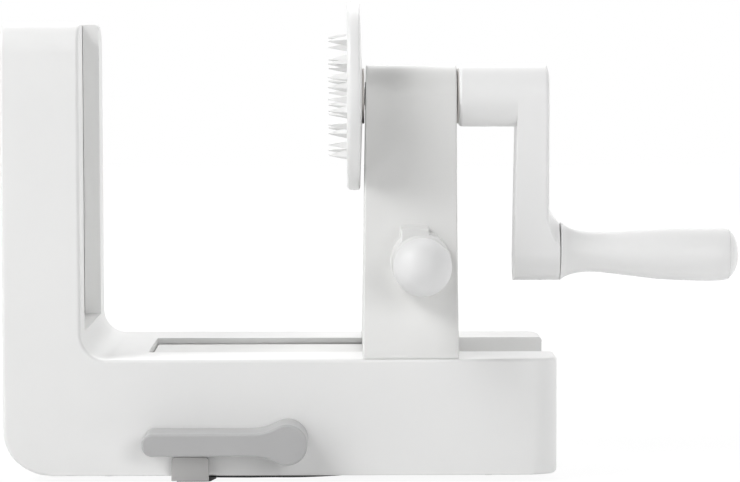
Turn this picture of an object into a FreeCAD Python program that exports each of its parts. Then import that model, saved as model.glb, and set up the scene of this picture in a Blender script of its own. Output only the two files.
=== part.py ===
"""Hand cranked tabletop vegetable spiralizer, in millimetres.

+X points from the blade frame to the crank, +Z up, -Y to the side with the knob and the suction
lever. The origin is on the worktop, under the centre of the suction cup and of its lever.
"""
import FreeCAD, Part
import math
import os

from FreeCAD import Vector

# ---------------------------------------------------------------- driving dimensions
# clearances
slide_gap = 0.3            # between pieces that slide or turn past each other
shaft_gap = 0.06           # radial, between a shaft and the bush or bore that it runs in

# housing: base and upright in one moulding
body_width = 116.0
under_gap = 2.0            # the housing stands this far clear of the worktop
base_top = 51.0
frame_rise = 30.9          # upright's top above the shaft's axis
frame_left = -117.4
frame_depth = 32.4         # along X
base_right = 111.6
wall = 3.0
corner_heel = 20.0         # outer radius under the upright
corner_toe = 5.0           # outer radius under the open end of the base
corner_end = 7.0           # the open end's upright corners, seen from above
corner_inner = 10.5        # between the upright and the base
corner_crown = 12.0        # top of each post, seen along X
edge_round = 1.6
window_width = 78.0
sill = 61.0
groove_inset = 7.0         # from the upright's inner face to the groove
groove_depth = 5.0

# slideway in the base
slot_left = -59.2
slot_width = 58.0
lip = 2.2
lip_overhang = 0.8
trough_floor = 40.0
rail_sink = 2.5            # guide rail's top below the base's top
rail_slit = 3.0            # between the rail's head and the lip
rail_end_slit = 0.8        # between the rail's head and the slot's closed end
rail_head = 2.5
rail_web_width = 24.0
rail_right = 68.0
rail_corner = 2.0
rail_screw_shares = (0.12, 0.5, 0.88)   # of the rail's length

# bottom cover, feet and fasteners
cover_thick = 2.5
cover_sink = 0.5
cover_margin = 6.0
pan_radius = 54.0
pan_height = 4.5
collar_radius = 14.5
collar_top = 12.0
boss_radius = 4.5
foot_radius = 6.0
foot_taper = 0.8
foot_inset = 22.0
screw_radius = 1.5
screw_head_radius = 2.8
screw_head = 1.4
screw_length = 9.0

# blade cartridge
cartridge_thick = 7.6
cartridge_drop = 0.5       # its top below the upright's top
slice_length = 36.0
slice_start = 8.5
slice_opening = 14.0
blade_thick = 1.0
blade_width = 13.0
core_radius = 5.0
core_wall = 0.8
core_reach = 3.2
comb_teeth = 9
comb_pitch = 3.6
comb_height = 2.6
comb_strip = 4.0
blade_rise = 0.9           # the cutting edge above the plate's face
rivet_radius = 1.6
rivet_margin = 4.0
panel_rib = 2.0
panel_rim = 4.0
panel_gap = 0.5
notch_radius = 12.0

# carriage
tower_left = 31.0
tower_length = 39.6        # at its foot
tower_draft = 1.4          # the left face leans in by this much up to the barrel
tower_overhang = 0.9       # the right face leans out by this much up to its top
tower_margin = 0.7         # the foot stands back from the housing's sides
tower_skirt = 2.0
tower_round = 0.8
flank_lean_low = 29.0      # degrees, the flank's lean where it meets the skirt
flank_lean_high = 6.0      # degrees, its lean where it leaves the barrel
tower_wall = 2.6
barrel_radius = 13.2
shaft_height = 158.1
bush_wall = 2.0
bush_length = 9.0
slide_inset = 7.0
slide_plate = 3.0
leg_thick = 2.4
hook_reach = 11.0
hook_thick = 3.0

# knob
knob_height = 90.0
knob_offset = 4.45         # from the tower's middle
knob_plate_radius = 12.5
knob_boss_face = 50.0      # distance of the tower's boss from the mid-plane
knob_plate_thick = 3.0
knob_plate_cone = 6.0
knob_plate_round = 0.8
knob_screw_length = 20.0
knob_tab_left = 8.4
knob_tab_right = 3.3
knob_tab_top = 14.0
knob_tab_arch = 0.5        # how far the tab's top edge bulges up in its middle
knob_radius = 11.9
knob_stand = 2.6           # the ball's distance from the cone's end
knob_neck = 6.0

# food holder
shaft_radius = 4.0
disc_radius = 40.3
disc_rim = 5.6
disc_dome = 0.9
disc_round = 1.2
collar_radius_outer = 11.8
collar_thick = 0.9
holder_seat = 4.5
tooth_length = 8.1
tooth_root = 0.5           # how deep the teeth start inside the disc
tooth_base = 1.6
tooth_tip = 0.4
ring_radii = (26.3, 20.9, 7.4)
ring_teeth = (8, 8, 4)
ring_turns = (18.6, -2.9, 31.2)   # degrees, from straight up to each ring's first tooth

# crank and grip
washer_thick = 0.6
clip_thick = 1.2
hub_socket = 9.0
plug_radius = 5.0
plug_skin = 1.4
crank_round = 1.8
flare_hollow = 1.2
axle_seat = 12.0
retainer_radius = 6.0
retainer_room = 1.0
hub_radius = 13.2
arm_right = 110.9
arm_top_thick = 13.4
arm_draft = 1.6            # the arm is this much thicker at its lower end
crank_radius = 66.9
arm_end_radius = 12.4
flare_radius = 18.0
flare_length = 4.7
grip_gap = 0.6
grip_length = 76.9
grip_flange = 12.5
grip_lip = 0.5
grip_radii = (10.7, 9.15, 8.65, 9.75, 11.2, 11.65, 11.35)
grip_shares = (0.035, 0.1, 0.2, 0.36, 0.56, 0.78, 0.9)   # of its length, where it has those radii
grip_neck_end = 10.7
grip_cap = 4.5
grip_dome_bulge = 1.75     # how far the cap's end stands out beyond the start of its rounding
grip_dome_flat = 7.6       # radius at which the rounding passes into the end's shallow dome
grip_axle_radius = 3.0
grip_droop = 1.2           # degrees, the axle leans down towards its free end

# suction lever, cam and cup
lever_height = 18.1
lever_length = 58.9
lever_width = 9.2
lever_head = 8.4
lever_front = 78.0
lever_bevel = 1.0
lever_blend = 22.0         # radius between the head and the arm
pin_radius = 1.0
lever_wall = 2.0
cam_shaft_radius = 4.0
cam_low = 6.0
cam_lift = 3.0
cam_width = 8.0
yoke_width = 24.0
yoke_depth = 12.0
yoke_bar = 3.6
stem_radius = 5.0
bearing_wide = 4.0
bearing_near = 20.0
bush_outer = 7.0
cup_radius = 51.0
cup_rim = 1.4
cup_skin = 1.6
cup_crown = 4.4
cup_hub_radius = 15.0
cup_flat_radius = 40.0
plate_radius = 11.0
plate_thick = 1.4
ear_thick = 1.2
ear_lift = 0.3
tab_left = -47.8
tab_width = 15.3
tab_bottom = 1.4
tab_height = 9.7
tab_thick = 3.5
tab_off_wall = 1.0
tab_round = 2.0

# ---------------------------------------------------------------- derived places
half_width = body_width / 2
frame_top = shaft_height + frame_rise
frame_right = frame_left + frame_depth
half_window = window_width / 2
half_slot = slot_width / 2
rail_top = base_top - rail_sink
half_rail = half_slot - rail_slit
rail_left = slot_left + rail_end_slit
lip_under = base_top - lip
groove_right = frame_right - groove_inset
groove_left = groove_right - cartridge_thick - 2 * slide_gap
tower_right = tower_left + tower_length
tower_back = tower_right + tower_overhang
tower_foot = body_width - 2 * tower_margin
tower_mid = tower_left + tower_length / 2
tower_bottom = base_top + slide_gap
tower_face = tower_left + tower_draft
disc_right = tower_face - slide_gap - collar_thick
disc_left = disc_right - disc_rim - disc_dome
hub_left = tower_back + slide_gap + washer_thick
cover_under = under_gap + cover_sink
cover_top = cover_under + cover_thick
knob_plate_face = knob_boss_face + knob_plate_thick
knob_foot = knob_plate_face + knob_plate_cone
knob_reach = knob_foot + knob_stand + knob_radius
pan_ceiling = cover_under + pan_height
grip_height = shaft_height - crank_radius
boss_face = arm_right + flare_length
grip_start = boss_face + grip_gap
cover_left = frame_left + corner_heel
cover_right = base_right - cover_margin
half_cover = cup_radius

X_AXIS = Vector(1, 0, 0)
Y_AXIS = Vector(0, 1, 0)
Z_AXIS = Vector(0, 0, 1)


# ---------------------------------------------------------------- helpers
def block(x0, x1, y0, y1, z0, z1):
    """A box between two corners."""
    return Part.makeBox(x1 - x0, y1 - y0, z1 - z0, Vector(x0, y0, z0))


def rod_x(x0, x1, radius, y=0.0, z=shaft_height):
    """A cylinder along X."""
    return Part.makeCylinder(radius, x1 - x0, Vector(x0, y, z), X_AXIS)


def rod_y(y0, y1, radius, x=0.0, z=lever_height):
    """A cylinder along Y."""
    return Part.makeCylinder(radius, y1 - y0, Vector(x, y0, z), Y_AXIS)


def rod_z(z0, z1, radius, x=0.0, y=0.0):
    """A cylinder along Z."""
    return Part.makeCylinder(radius, z1 - z0, Vector(x, y, z0), Z_AXIS)


def join(*shapes):
    """One solid from several that overlap."""
    return shapes[0].multiFuse(list(shapes[1:])).removeSplitter()


def polygon(points):
    """A closed wire through points."""
    return Part.makePolygon(list(points) + [points[0]])


def rounded(points, radii):
    """A closed wire through points whose corners are arcs of the given radii; 0 stays sharp."""
    edges = []
    count = len(points)
    ends = []
    for i in range(count):
        corner = points[i]
        before = (points[i - 1] - corner).normalize()
        after = (points[(i + 1) % count] - corner).normalize()
        if radii[i] == 0:
            ends.append((corner, None, corner))
            continue
        half = before.getAngle(after) / 2
        run = radii[i] / math.tan(half)
        inward = (before + after).normalize()
        middle = corner + inward * (radii[i] / math.sin(half) - radii[i])
        ends.append((corner + before * run, middle, corner + after * run))
    for i in range(count):
        start, middle, stop = ends[i]
        if middle is not None:
            edges.append(Part.Arc(start, middle, stop).toShape())
        following = ends[(i + 1) % count][0]
        if (following - stop).Length > 1e-6:
            edges.append(Part.makeLine(stop, following))
    return Part.Wire(edges)


def prism(wire, direction):
    """The solid that a flat wire sweeps along a vector."""
    return Part.Face(wire).extrude(direction)


def fillet(shape, radius, chosen):
    """Round the edges of shape that chosen(edge) picks."""
    return shape.makeFillet(radius, [edge for edge in shape.Edges if chosen(edge)])


def flat_at(edge, axis, value):
    """Whether a whole edge lies in the plane where coordinate axis has the value."""
    box = edge.BoundBox
    low = (box.XMin, box.YMin, box.ZMin)[axis]
    high = (box.XMax, box.YMax, box.ZMax)[axis]
    return abs(low - value) < 0.01 and abs(high - value) < 0.01


def turned(profile, origin, axis):
    """Revolve a closed list of points, given in the XZ plane, all the way round an axis."""
    return Part.Face(polygon(profile)).revolve(origin, axis, 360)


# ---------------------------------------------------------------- housing
def side_outline(inset, y):
    """The L-shaped side view of the housing, drawn inset from its outside, in the plane y."""
    low = under_gap + inset
    points = [
        Vector(frame_left + inset, y, low),
        Vector(base_right - inset, y, low),
        Vector(base_right - inset, y, base_top - inset),
        Vector(frame_right - inset, y, base_top - inset),
        Vector(frame_right - inset, y, frame_top - inset),
        Vector(frame_left + inset, y, frame_top - inset),
    ]
    radii = [corner_heel - inset, corner_toe - min(inset, corner_toe / 2), 0, corner_inner + inset, 0, 0]
    return rounded(points, radii)


def plan_form(inset):
    """The view of the housing from above, as a tall prism: its open end has rounded corners."""
    side = half_width - inset
    points = [Vector(frame_left, -side, 0), Vector(base_right - inset, -side, 0),
              Vector(base_right - inset, side, 0), Vector(frame_left, side, 0)]
    radius = corner_end - inset
    return prism(rounded(points, [0, radius, radius, 0]), Vector(0, 0, frame_top))


def housing_outside():
    """The closed outer form of the base and the upright."""
    form = prism(side_outline(0, -half_width), Vector(0, body_width, 0)).common(plan_form(0))

    def crown(edge):
        return flat_at(edge, 2, frame_top) and edge.BoundBox.XLength > edge_round

    form = fillet(form, corner_crown, crown)

    def rim(edge):
        box = edge.BoundBox
        side = flat_at(edge, 1, half_width) or flat_at(edge, 1, -half_width)
        arc = box.YLength > edge_round and abs(box.ZMax - frame_top) < 0.01 and box.XLength < 0.01
        seam = side and flat_at(edge, 2, frame_top - corner_crown)
        return (side and not seam) or arc

    return fillet(form, edge_round, rim)


def housing_hollow():
    """The space inside the housing, around the window, the grooves and the trough."""
    inner = half_width - wall
    hollow = prism(side_outline(wall, -inner), Vector(0, 2 * inner, 0)).common(plan_form(wall))

    def crown(edge):
        return flat_at(edge, 2, frame_top - wall) and edge.BoundBox.XLength > edge_round

    hollow = fillet(hollow, corner_crown - wall, crown)
    keep_out = [
        block(frame_left, frame_right, -half_window - wall, half_window + wall, sill - wall, frame_top),
        block(groove_left - wall, groove_right + wall, -half_window - groove_depth - wall,
              half_window + groove_depth + wall, sill - wall, frame_top),
        block(slot_left - wall, base_right, -half_slot - lip_overhang - wall,
              half_slot + lip_overhang + wall, trough_floor - wall, base_top),
    ]
    return hollow.cut(Part.makeCompound(keep_out))


def cover_screw_places():
    """Where the bottom cover is screwed to the housing."""
    rows = (-half_cover + 2 * boss_radius, half_cover - 2 * boss_radius)
    columns = (cover_left + 3 * boss_radius, cover_right - 3 * boss_radius)
    return [(x, y) for x in columns for y in rows]


def cover_boss(x, y):
    """A screw boss under the trough's level, tied to the side wall by a rib."""
    near, far = sorted((y, math.copysign(half_width - wall / 2, y)))
    rib = block(x - wall, x + wall, near, far, cover_top, trough_floor)
    return join(rod_z(cover_top, trough_floor, boss_radius, x, y), rib)


def body_shell():
    """The one-piece housing with its posts, cartridge grooves, trough and screw bosses."""
    shell = housing_outside().cut(housing_hollow())
    shell = join(shell, *[cover_boss(x, y) for x, y in cover_screw_places()])
    reach = groove_depth + half_window
    cuts = [
        block(frame_left - wall, frame_right + wall, -half_window, half_window, sill, frame_top + wall),
        block(groove_left, groove_right, -reach, reach, sill, frame_top + wall),
        block(slot_left, base_right + wall, -half_slot, half_slot, lip_under, base_top + wall),
        block(slot_left, base_right + wall, -half_slot - lip_overhang, half_slot + lip_overhang,
              trough_floor, lip_under),
        block(cover_left - slide_gap, cover_right + slide_gap, -half_cover - slide_gap,
              half_cover + slide_gap, 0, under_gap + wall),
        rod_y(-half_width - wall, 0, bush_outer),
    ]
    cuts += [rod_z(0, cover_top + screw_length, screw_radius, x, y) for x, y in cover_screw_places()]
    cuts += [rod_z(trough_floor - 2 * wall, trough_floor + wall, screw_radius, x, 0)
             for x in rail_screw_places()]
    return shell.cut(Part.makeCompound(cuts))


def bottom_cover():
    """The plate that closes the base, with a pan over the suction cup and a collar round the yoke."""
    plate = block(cover_left, cover_right, -half_cover, half_cover, cover_under, cover_top)
    pan = rod_z(cover_under, pan_ceiling + cover_thick, pan_radius - slide_gap)
    collar = rod_z(cover_under, collar_top, collar_radius + cover_thick)
    half_bar = bearing_wide / 2
    posts = []
    for y in (-bearing_near, bearing_near):
        posts.append(block(-2 * cam_shaft_radius, 2 * cam_shaft_radius, y - half_bar, y + half_bar,
                           cover_top, lever_height))
        posts.append(rod_y(y - half_bar, y + half_bar, 2 * cam_shaft_radius))
    cover = join(plate, pan, collar, *posts)
    cuts = [
        rod_z(0, pan_ceiling, pan_radius - cover_thick),
        rod_z(0, collar_top + wall, collar_radius),
        rod_y(-2 * bearing_near, 2 * bearing_near, cam_shaft_radius + shaft_gap),
    ]
    cuts += [rod_z(0, cover_top + wall, screw_radius, x, y) for x, y in cover_screw_places()]
    cuts += [rod_z(0, cover_under + screw_head, screw_head_radius + slide_gap, x, y)
             for x, y in cover_screw_places()]
    cover = cover.cut(Part.makeCompound(cuts))
    return cover.common(block(cover_left, cover_right, -half_cover, half_cover, 0, base_top))


def pan_head_screw(x, y, seat, up=1):
    """A screw along Z with its head below the seat, or above it when up is -1."""
    if up > 0:
        return join(rod_z(seat - screw_head, seat, screw_head_radius, x, y),
                    rod_z(seat - screw_head, seat + screw_length, screw_radius, x, y))
    return join(rod_z(seat, seat + screw_head, screw_head_radius, x, y),
                rod_z(seat - screw_length, seat + screw_head, screw_radius, x, y))


def cover_screws():
    """The screws of the bottom cover."""
    return Part.makeCompound([pan_head_screw(x, y, cover_under + screw_head)
                              for x, y in cover_screw_places()])


def rubber_feet():
    """Round feet under the corners of the cover."""
    rows = (-half_cover + foot_radius * 2.5, half_cover - foot_radius * 2.5)
    columns = (cover_left + foot_inset, cover_right - foot_inset)
    narrow = foot_radius - foot_taper
    return Part.makeCompound([Part.makeCone(narrow, foot_radius, cover_under, Vector(x, y, 0))
                              for x in columns for y in rows])


def rail_screw_places():
    """Where the guide rail is screwed to the trough floor."""
    length = rail_right - rail_left
    return [rail_left + length * share for share in rail_screw_shares]


def guide_rail():
    """The T-shaped rail in the slot that the carriage hooks under."""
    head = block(rail_left, rail_right, -half_rail, half_rail, rail_top - rail_head, rail_top)

    def plan_corner(edge):
        return edge.BoundBox.ZLength > 1

    head = fillet(head, rail_corner, plan_corner)
    half_web = rail_web_width / 2
    web = block(rail_left + rail_corner, rail_right, -half_web, half_web, trough_floor,
                rail_top - rail_head / 2)
    rail = join(head, web)
    holes = [rod_z(trough_floor, trough_floor + screw_length - wall, screw_radius, x, 0)
             for x in rail_screw_places()]
    return rail.cut(Part.makeCompound(holes))


def rail_screws():
    """The screws that hold the rail from under the trough floor."""
    return Part.makeCompound([pan_head_screw(x, 0, trough_floor - wall) for x in rail_screw_places()])


# ---------------------------------------------------------------- blade cartridge
def blade_end():
    """Height of the lower end of the slicing opening."""
    return shaft_height - slice_start - slice_length


def rivet_places():
    """Where rivets hold the blade and the comb, as (y, z) on the plate's face."""
    low = blade_end()
    comb_top = shaft_height - slice_start
    comb_low = comb_top - comb_strip_length()
    row = comb_row() + comb_strip / 2
    blade_row = low - rivet_margin
    return [(-slice_opening / 2, blade_row), (slice_opening / 4 - 2 * rivet_radius, blade_row),
            (row, comb_top + rivet_margin / 2), (row, comb_low - rivet_margin / 2)]


def comb_row():
    """Distance of the comb's near edge from the mid-plane."""
    return slice_opening / 2 + 2 * panel_gap


def comb_strip_length():
    """Length of the toothed stretch of the comb."""
    return comb_teeth * comb_pitch


def blade_rivets():
    """Low round rivets on the face of the cartridge."""
    face = cartridge_right()
    rivets = [join(rod_x(face - cartridge_thick / 4, face + blade_thick, rivet_radius / 2, y, z),
                   rod_x(face + blade_thick / 2, face + blade_thick, rivet_radius, y, z))
              for y, z in rivet_places()]
    return Part.makeCompound(rivets)


def cartridge_right():
    """The cartridge's working face, towards the food."""
    return groove_right - slide_gap


def cartridge_frame():
    """The plate that drops into the grooves, with its slicing opening, coring seat and ribs."""
    left = groove_left + slide_gap
    right = cartridge_right()
    reach = half_window + groove_depth - slide_gap
    top = frame_top - cartridge_drop
    bottom = sill + slide_gap
    skin = cartridge_thick / 2
    rim = half_window - panel_rim
    tongues = block(left, right, -reach, reach, bottom, top)
    hollow = block(left - wall, right - skin, -rim, rim, bottom + panel_rim, top - panel_rim)
    plate = tongues.cut(hollow)
    rib_row = (rim + slice_opening / 2) / 2
    ribs = [block(left, right - skin / 2, y - panel_rib / 2, y + panel_rib / 2, bottom + 1, top - 1)
            for y in (-rib_row, rib_row)]
    seat = rod_x(left, right, core_radius + panel_rim)
    plate = join(plate, seat, *ribs)
    low = blade_end()
    slot = block(left - wall, right + wall, -slice_opening / 2, slice_opening / 2, low,
                 shaft_height - slice_start)
    pocket = block(right - blade_thick - panel_gap, right + wall, -blade_width, slice_opening / 4,
                   low - 2 * rivet_margin, shaft_height - slice_start)
    notch = rod_x(left - wall, right + wall, notch_radius, 0, top + notch_radius / 3)
    bore = rod_x(left - wall, right + wall, core_radius + core_wall)
    return plate.cut(Part.makeCompound([slot, pocket, notch, bore])).cut(blade_rivets())


def slicing_blade():
    """The flat blade across the opening, with a ground edge that stands proud of the plate."""
    right = cartridge_right()
    back = -blade_width + panel_gap
    edge = back + blade_width - panel_gap
    ground = blade_width / 5
    section = [Vector(right - blade_thick, back, 0), Vector(right, back, 0),
               Vector(right, -slice_opening / 2, 0), Vector(right + blade_rise, edge, 0),
               Vector(right + blade_rise - blade_thick, edge - ground, 0),
               Vector(right - blade_thick, -slice_opening / 2, 0)]
    low = blade_end() - 2 * rivet_margin + panel_gap
    section = [point + Vector(0, 0, low) for point in section]
    blade = prism(polygon(section), Vector(0, 0, shaft_height - slice_start - panel_gap - low))
    return blade.cut(blade_rivets())


def shredding_comb():
    """The strip with a row of small upright teeth that splits the ribbon into strands."""
    right = cartridge_right()
    row = comb_row()
    top = shaft_height - slice_start
    low = top - comb_strip_length()
    strip = block(right, right + blade_thick / 2, row, row + comb_strip, low - rivet_margin,
                  top + rivet_margin)
    teeth = []
    for i in range(comb_teeth):
        z = top - (i + 0.5) * comb_pitch
        face = polygon([Vector(right, row, z), Vector(right, row + comb_strip, z),
                        Vector(right + comb_height, row + comb_strip * 0.7, z),
                        Vector(right + comb_height, row + comb_strip * 0.4, z)])
        teeth.append(prism(face, Vector(0, 0, blade_thick / 2)))
    return join(strip, *teeth).cut(blade_rivets())


def coring_tube():
    """The short sharpened tube on the shaft's axis."""
    left = groove_left + slide_gap
    right = cartridge_right() + core_reach
    inner = shaft_height + core_radius
    outer = inner + core_wall
    section = [Vector(left, 0, inner), Vector(left, 0, outer), Vector(right - 2 * core_wall, 0, outer),
               Vector(right, 0, inner + core_wall / 5), Vector(right, 0, inner)]
    return turned(section, Vector(0, 0, shaft_height), X_AXIS)


# ---------------------------------------------------------------- carriage
def tower_outline(inset, x):
    """The view of the tower along X: a barrel on two hollow flanks that spread to a short skirt."""
    radius = barrel_radius - inset
    half = tower_foot / 2 - inset
    knee = tower_bottom + tower_skirt
    pull = (shaft_height - knee) / 3
    low_lean = math.tan(math.radians(flank_lean_low))
    high_lean = math.tan(math.radians(flank_lean_high))

    def flank(side):
        curve = Part.BezierCurve()
        curve.setPoles([Vector(x, side * half, knee),
                        Vector(x, side * (half - pull * low_lean), knee + pull),
                        Vector(x, side * (radius + pull * high_lean), shaft_height - pull),
                        Vector(x, side * radius, shaft_height)])
        return curve.toShape()

    left_foot, right_foot = Vector(x, -half, tower_bottom), Vector(x, half, tower_bottom)
    left_knee, right_knee = Vector(x, -half, knee), Vector(x, half, knee)
    crown = Part.Arc(Vector(x, radius, shaft_height), Vector(x, 0, shaft_height + radius),
                     Vector(x, -radius, shaft_height))
    left_flank = flank(-1)
    left_flank.reverse()
    return Part.Wire([Part.makeLine(left_foot, right_foot), Part.makeLine(right_foot, right_knee), flank(1),
                      crown.toShape(), left_flank, Part.makeLine(left_knee, left_foot)])


def tower_side(inset):
    """The view of the tower along Y, as a tall prism: its two faces lean towards the crank."""
    low = tower_bottom - 1
    crown = shaft_height + barrel_radius
    top = crown + barrel_radius
    lean_left = tower_draft / (shaft_height - barrel_radius - low)
    lean_right = tower_overhang / (crown - low)
    y = -body_width
    points = [Vector(tower_left + inset, y, low), Vector(tower_right - inset, y, low),
              Vector(tower_right - inset + lean_right * (top - low), y, top),
              Vector(tower_left + inset + lean_left * (top - low), y, top)]
    return prism(polygon(points), Vector(0, 2 * body_width, 0))


def knob_axis():
    """X of the knob's axis."""
    return tower_mid + knob_offset


def tower_shell():
    """The hollow tower that carries the shaft and the knob."""
    reach = Vector(tower_length + 2 * tower_overhang, 0, 0)
    full = prism(tower_outline(0, tower_left), reach).common(tower_side(0))

    def outline_edge(edge):
        lengthwise = edge.BoundBox.XLength > tower_length / 2
        return not lengthwise and not flat_at(edge, 2, tower_bottom)

    outside = fillet(full, tower_round, outline_edge)
    inside = prism(tower_outline(tower_wall, tower_left), reach).common(tower_side(tower_wall))
    half_inner = tower_foot / 2 - tower_wall
    mouth = block(tower_left + tower_wall, tower_right - tower_wall, -half_inner, half_inner,
                  tower_bottom - 1, tower_bottom + slide_plate)
    tube_radius = shaft_radius + shaft_gap + bush_wall + tower_wall
    tube = rod_x(tower_face + tower_wall / 2, tower_back - tower_wall / 2, tube_radius)
    boss = prism(knob_outline(-knob_boss_face), Vector(0, knob_boss_face - knob_plate_radius, 0))
    core = rod_y(tower_wall - knob_boss_face, -knob_plate_radius, knob_plate_radius - tower_wall,
                 knob_axis(), knob_height)
    posts = [rod_z(tower_bottom + slide_plate, knob_height, boss_radius, x, y).common(full)
             for x, y in slide_screw_places()]
    shell = outside.fuse(boss).cut(Part.makeCompound([inside, mouth, core]))
    shell = join(shell, tube, *posts)
    cuts = [
        rod_x(tower_left - 1, tower_back + 1, shaft_radius + shaft_gap + bush_wall),
        knob_screw(),
    ]
    cuts += [rod_z(tower_bottom, tower_bottom + slide_plate + screw_length, screw_radius, x, y)
             for x, y in slide_screw_places()]
    return shell.cut(Part.makeCompound(cuts))


def shaft_bush(face, inward):
    """A plain bush pressed into one end of the barrel, flush with the tower's face."""
    ends = sorted((face, face + inward * bush_length))
    body = rod_x(ends[0], ends[1], shaft_radius + shaft_gap + bush_wall)
    return body.cut(rod_x(ends[0] - 1, ends[1] + 1, shaft_radius + shaft_gap))


def front_bush():
    """The bush behind the food holder."""
    return shaft_bush(tower_face, 1)


def rear_bush():
    """The bush beside the crank."""
    return shaft_bush(tower_back, -1)


def slide_outline():
    """Plan size of the slide plate: it fills the mouth of the tower."""
    return tower_left + tower_wall, tower_right - tower_wall, tower_foot / 2 - tower_wall


def slide_screw_places():
    """Where the slide plate is screwed up into the tower's posts."""
    return [(tower_mid, side * (tower_foot / 2 - 3 * boss_radius)) for side in (-1, 1)]


def carriage_slide():
    """The plate across the tower's foot, with two legs that hook under the rail's head."""
    left, right, half = slide_outline()
    plate = block(left, right, -half, half, tower_bottom, tower_bottom + slide_plate)
    foot_left = left + slide_inset
    foot_right = right - slide_inset
    outer = half_slot - slide_gap
    inner = outer - leg_thick
    toe_top = rail_top - rail_head - slide_gap
    toe_low = toe_top - hook_thick
    pieces = [plate]
    for side in (-1, 1):
        leg = sorted((side * inner, side * outer))
        toe = sorted((side * (outer - hook_reach), side * outer))
        pieces.append(block(foot_left, foot_right, leg[0], leg[1], toe_low, tower_bottom + slide_plate / 2))
        pieces.append(block(foot_left, foot_right, toe[0], toe[1], toe_low, toe_top))
    slide = join(*pieces)
    return slide.cut(slide_screws())


def slide_screws():
    """The screws of the slide plate, their heads let into its underside."""
    seat = tower_bottom + screw_head + slide_gap
    return Part.makeCompound([pan_head_screw(x, y, seat) for x, y in slide_screw_places()])


# ---------------------------------------------------------------- knob
def knob_outline(y):
    """The outline of the knob's boss: a circle with a flat-topped tab, left of the middle."""
    axis = knob_axis()
    left = math.asin(knob_tab_left / knob_plate_radius)
    right = math.asin(knob_tab_right / knob_plate_radius)
    top = knob_height + knob_tab_top
    left_foot = Vector(axis - knob_tab_left, y, knob_height + knob_plate_radius * math.cos(left))
    right_foot = Vector(axis + knob_tab_right, y, knob_height + knob_plate_radius * math.cos(right))
    left_top = Vector(left_foot.x, y, top)
    right_top = Vector(right_foot.x, y, top)
    arch = (left_top + right_top) * 0.5 + Z_AXIS * knob_tab_arch
    return Part.Wire([
        Part.Arc(right_foot, Vector(axis, y, knob_height - knob_plate_radius), left_foot).toShape(),
        Part.makeLine(left_foot, left_top), Part.Arc(left_top, arch, right_top).toShape(),
        Part.makeLine(right_top, right_foot),
    ])


def knob_plate():
    """The plate on the boss, which narrows in a cone towards the knob's neck."""
    plate = prism(knob_outline(-knob_plate_face), Vector(0, knob_plate_thick, 0))

    def front(edge):
        return flat_at(edge, 1, -knob_plate_face)

    plate = fillet(plate, knob_plate_round, front)
    cone = Part.makeCone(knob_plate_radius - knob_plate_round, knob_neck + knob_plate_round,
                         knob_plate_cone, Vector(knob_axis(), -knob_plate_face, knob_height), Y_AXIS * -1)
    return join(plate, cone).cut(knob_screw())


def knob():
    """The ball knob, turned with its neck."""
    start = knob_neck / knob_radius
    aim = math.asin(start)
    neck_y = -knob_reach + knob_radius * math.cos(aim)
    axis = knob_axis()
    tip = Vector(axis, -knob_reach - knob_radius, knob_height)
    side = Vector(axis, -knob_reach, knob_height + knob_radius)
    root = Vector(axis, neck_y, knob_height + knob_neck)
    foot = Vector(axis, -knob_foot, knob_height + knob_neck)
    centre = Vector(axis, -knob_foot, knob_height)
    profile = Part.Wire([Part.Arc(tip, side, root).toShape(), Part.makeLine(root, foot),
                         Part.makeLine(foot, centre), Part.makeLine(centre, tip)])
    return Part.Face(profile).revolve(centre, Y_AXIS, 360).cut(knob_screw())


def knob_screw():
    """The screw from inside the tower through the plate into the knob."""
    seat = tower_wall - knob_boss_face
    shank = rod_y(seat - knob_screw_length, seat, screw_radius, knob_axis(), knob_height)
    head = rod_y(seat, seat + screw_head, screw_head_radius, knob_axis(), knob_height)
    return join(shank, head)


# ---------------------------------------------------------------- food holder
def tooth(root, y, z, turn):
    """A four-sided tooth that tapers away from the disc, with two sides along its ring."""
    def square(x, half):
        corners = []
        for side, rise in ((1, 1), (1, -1), (-1, -1), (-1, 1)):
            along = side * half * math.cos(turn) + rise * half * math.sin(turn)
            up = rise * half * math.cos(turn) - side * half * math.sin(turn)
            corners.append(Vector(x, y + along, z + up))
        return polygon(corners)

    return Part.makeLoft([square(root + tooth_root, tooth_base), square(root - tooth_length, tooth_tip)],
                         True, True)


def food_holder():
    """The disc with rings of pointed teeth that hold the vegetable."""
    left = disc_left
    back = left + disc_rim
    shoulder = disc_radius - disc_round
    z = shaft_height
    p = [Vector(left, 0, z), Vector(left, 0, z + shoulder), Vector(left + disc_round, 0, z + disc_radius),
         Vector(back - disc_round, 0, z + disc_radius), Vector(back, 0, z + shoulder),
         Vector(disc_right, 0, z + collar_radius_outer), Vector(disc_right, 0, z)]
    sweep = disc_round * (1 - math.sqrt(0.5))
    front_mid = Vector(left + sweep, 0, z + disc_radius - sweep)
    rear_mid = Vector(back - sweep, 0, z + disc_radius - sweep)
    dome_mid = (p[4] + p[5]) * 0.5 + Vector(disc_dome / 5, 0, 0)
    outline = Part.Wire([
        Part.makeLine(p[0], p[1]), Part.Arc(p[1], front_mid, p[2]).toShape(), Part.makeLine(p[2], p[3]),
        Part.Arc(p[3], rear_mid, p[4]).toShape(), Part.Arc(p[4], dome_mid, p[5]).toShape(),
        Part.makeLine(p[5], p[6]), Part.makeLine(p[6], p[0]),
    ])
    disc = Part.Face(outline).revolve(Vector(0, 0, z), X_AXIS, 360)
    teeth = []
    for ring, count, phase in zip(ring_radii, ring_teeth, ring_turns):
        for i in range(count):
            turn = math.radians(phase + 360 * i / count)
            teeth.append(tooth(left, ring * math.sin(turn), z + ring * math.cos(turn), turn))
    disc = join(disc, *teeth)
    socket = rod_x(disc_right - holder_seat, disc_right + 1, shaft_radius)
    return disc.cut(Part.makeCompound([socket, holder_screw()]))


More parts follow.
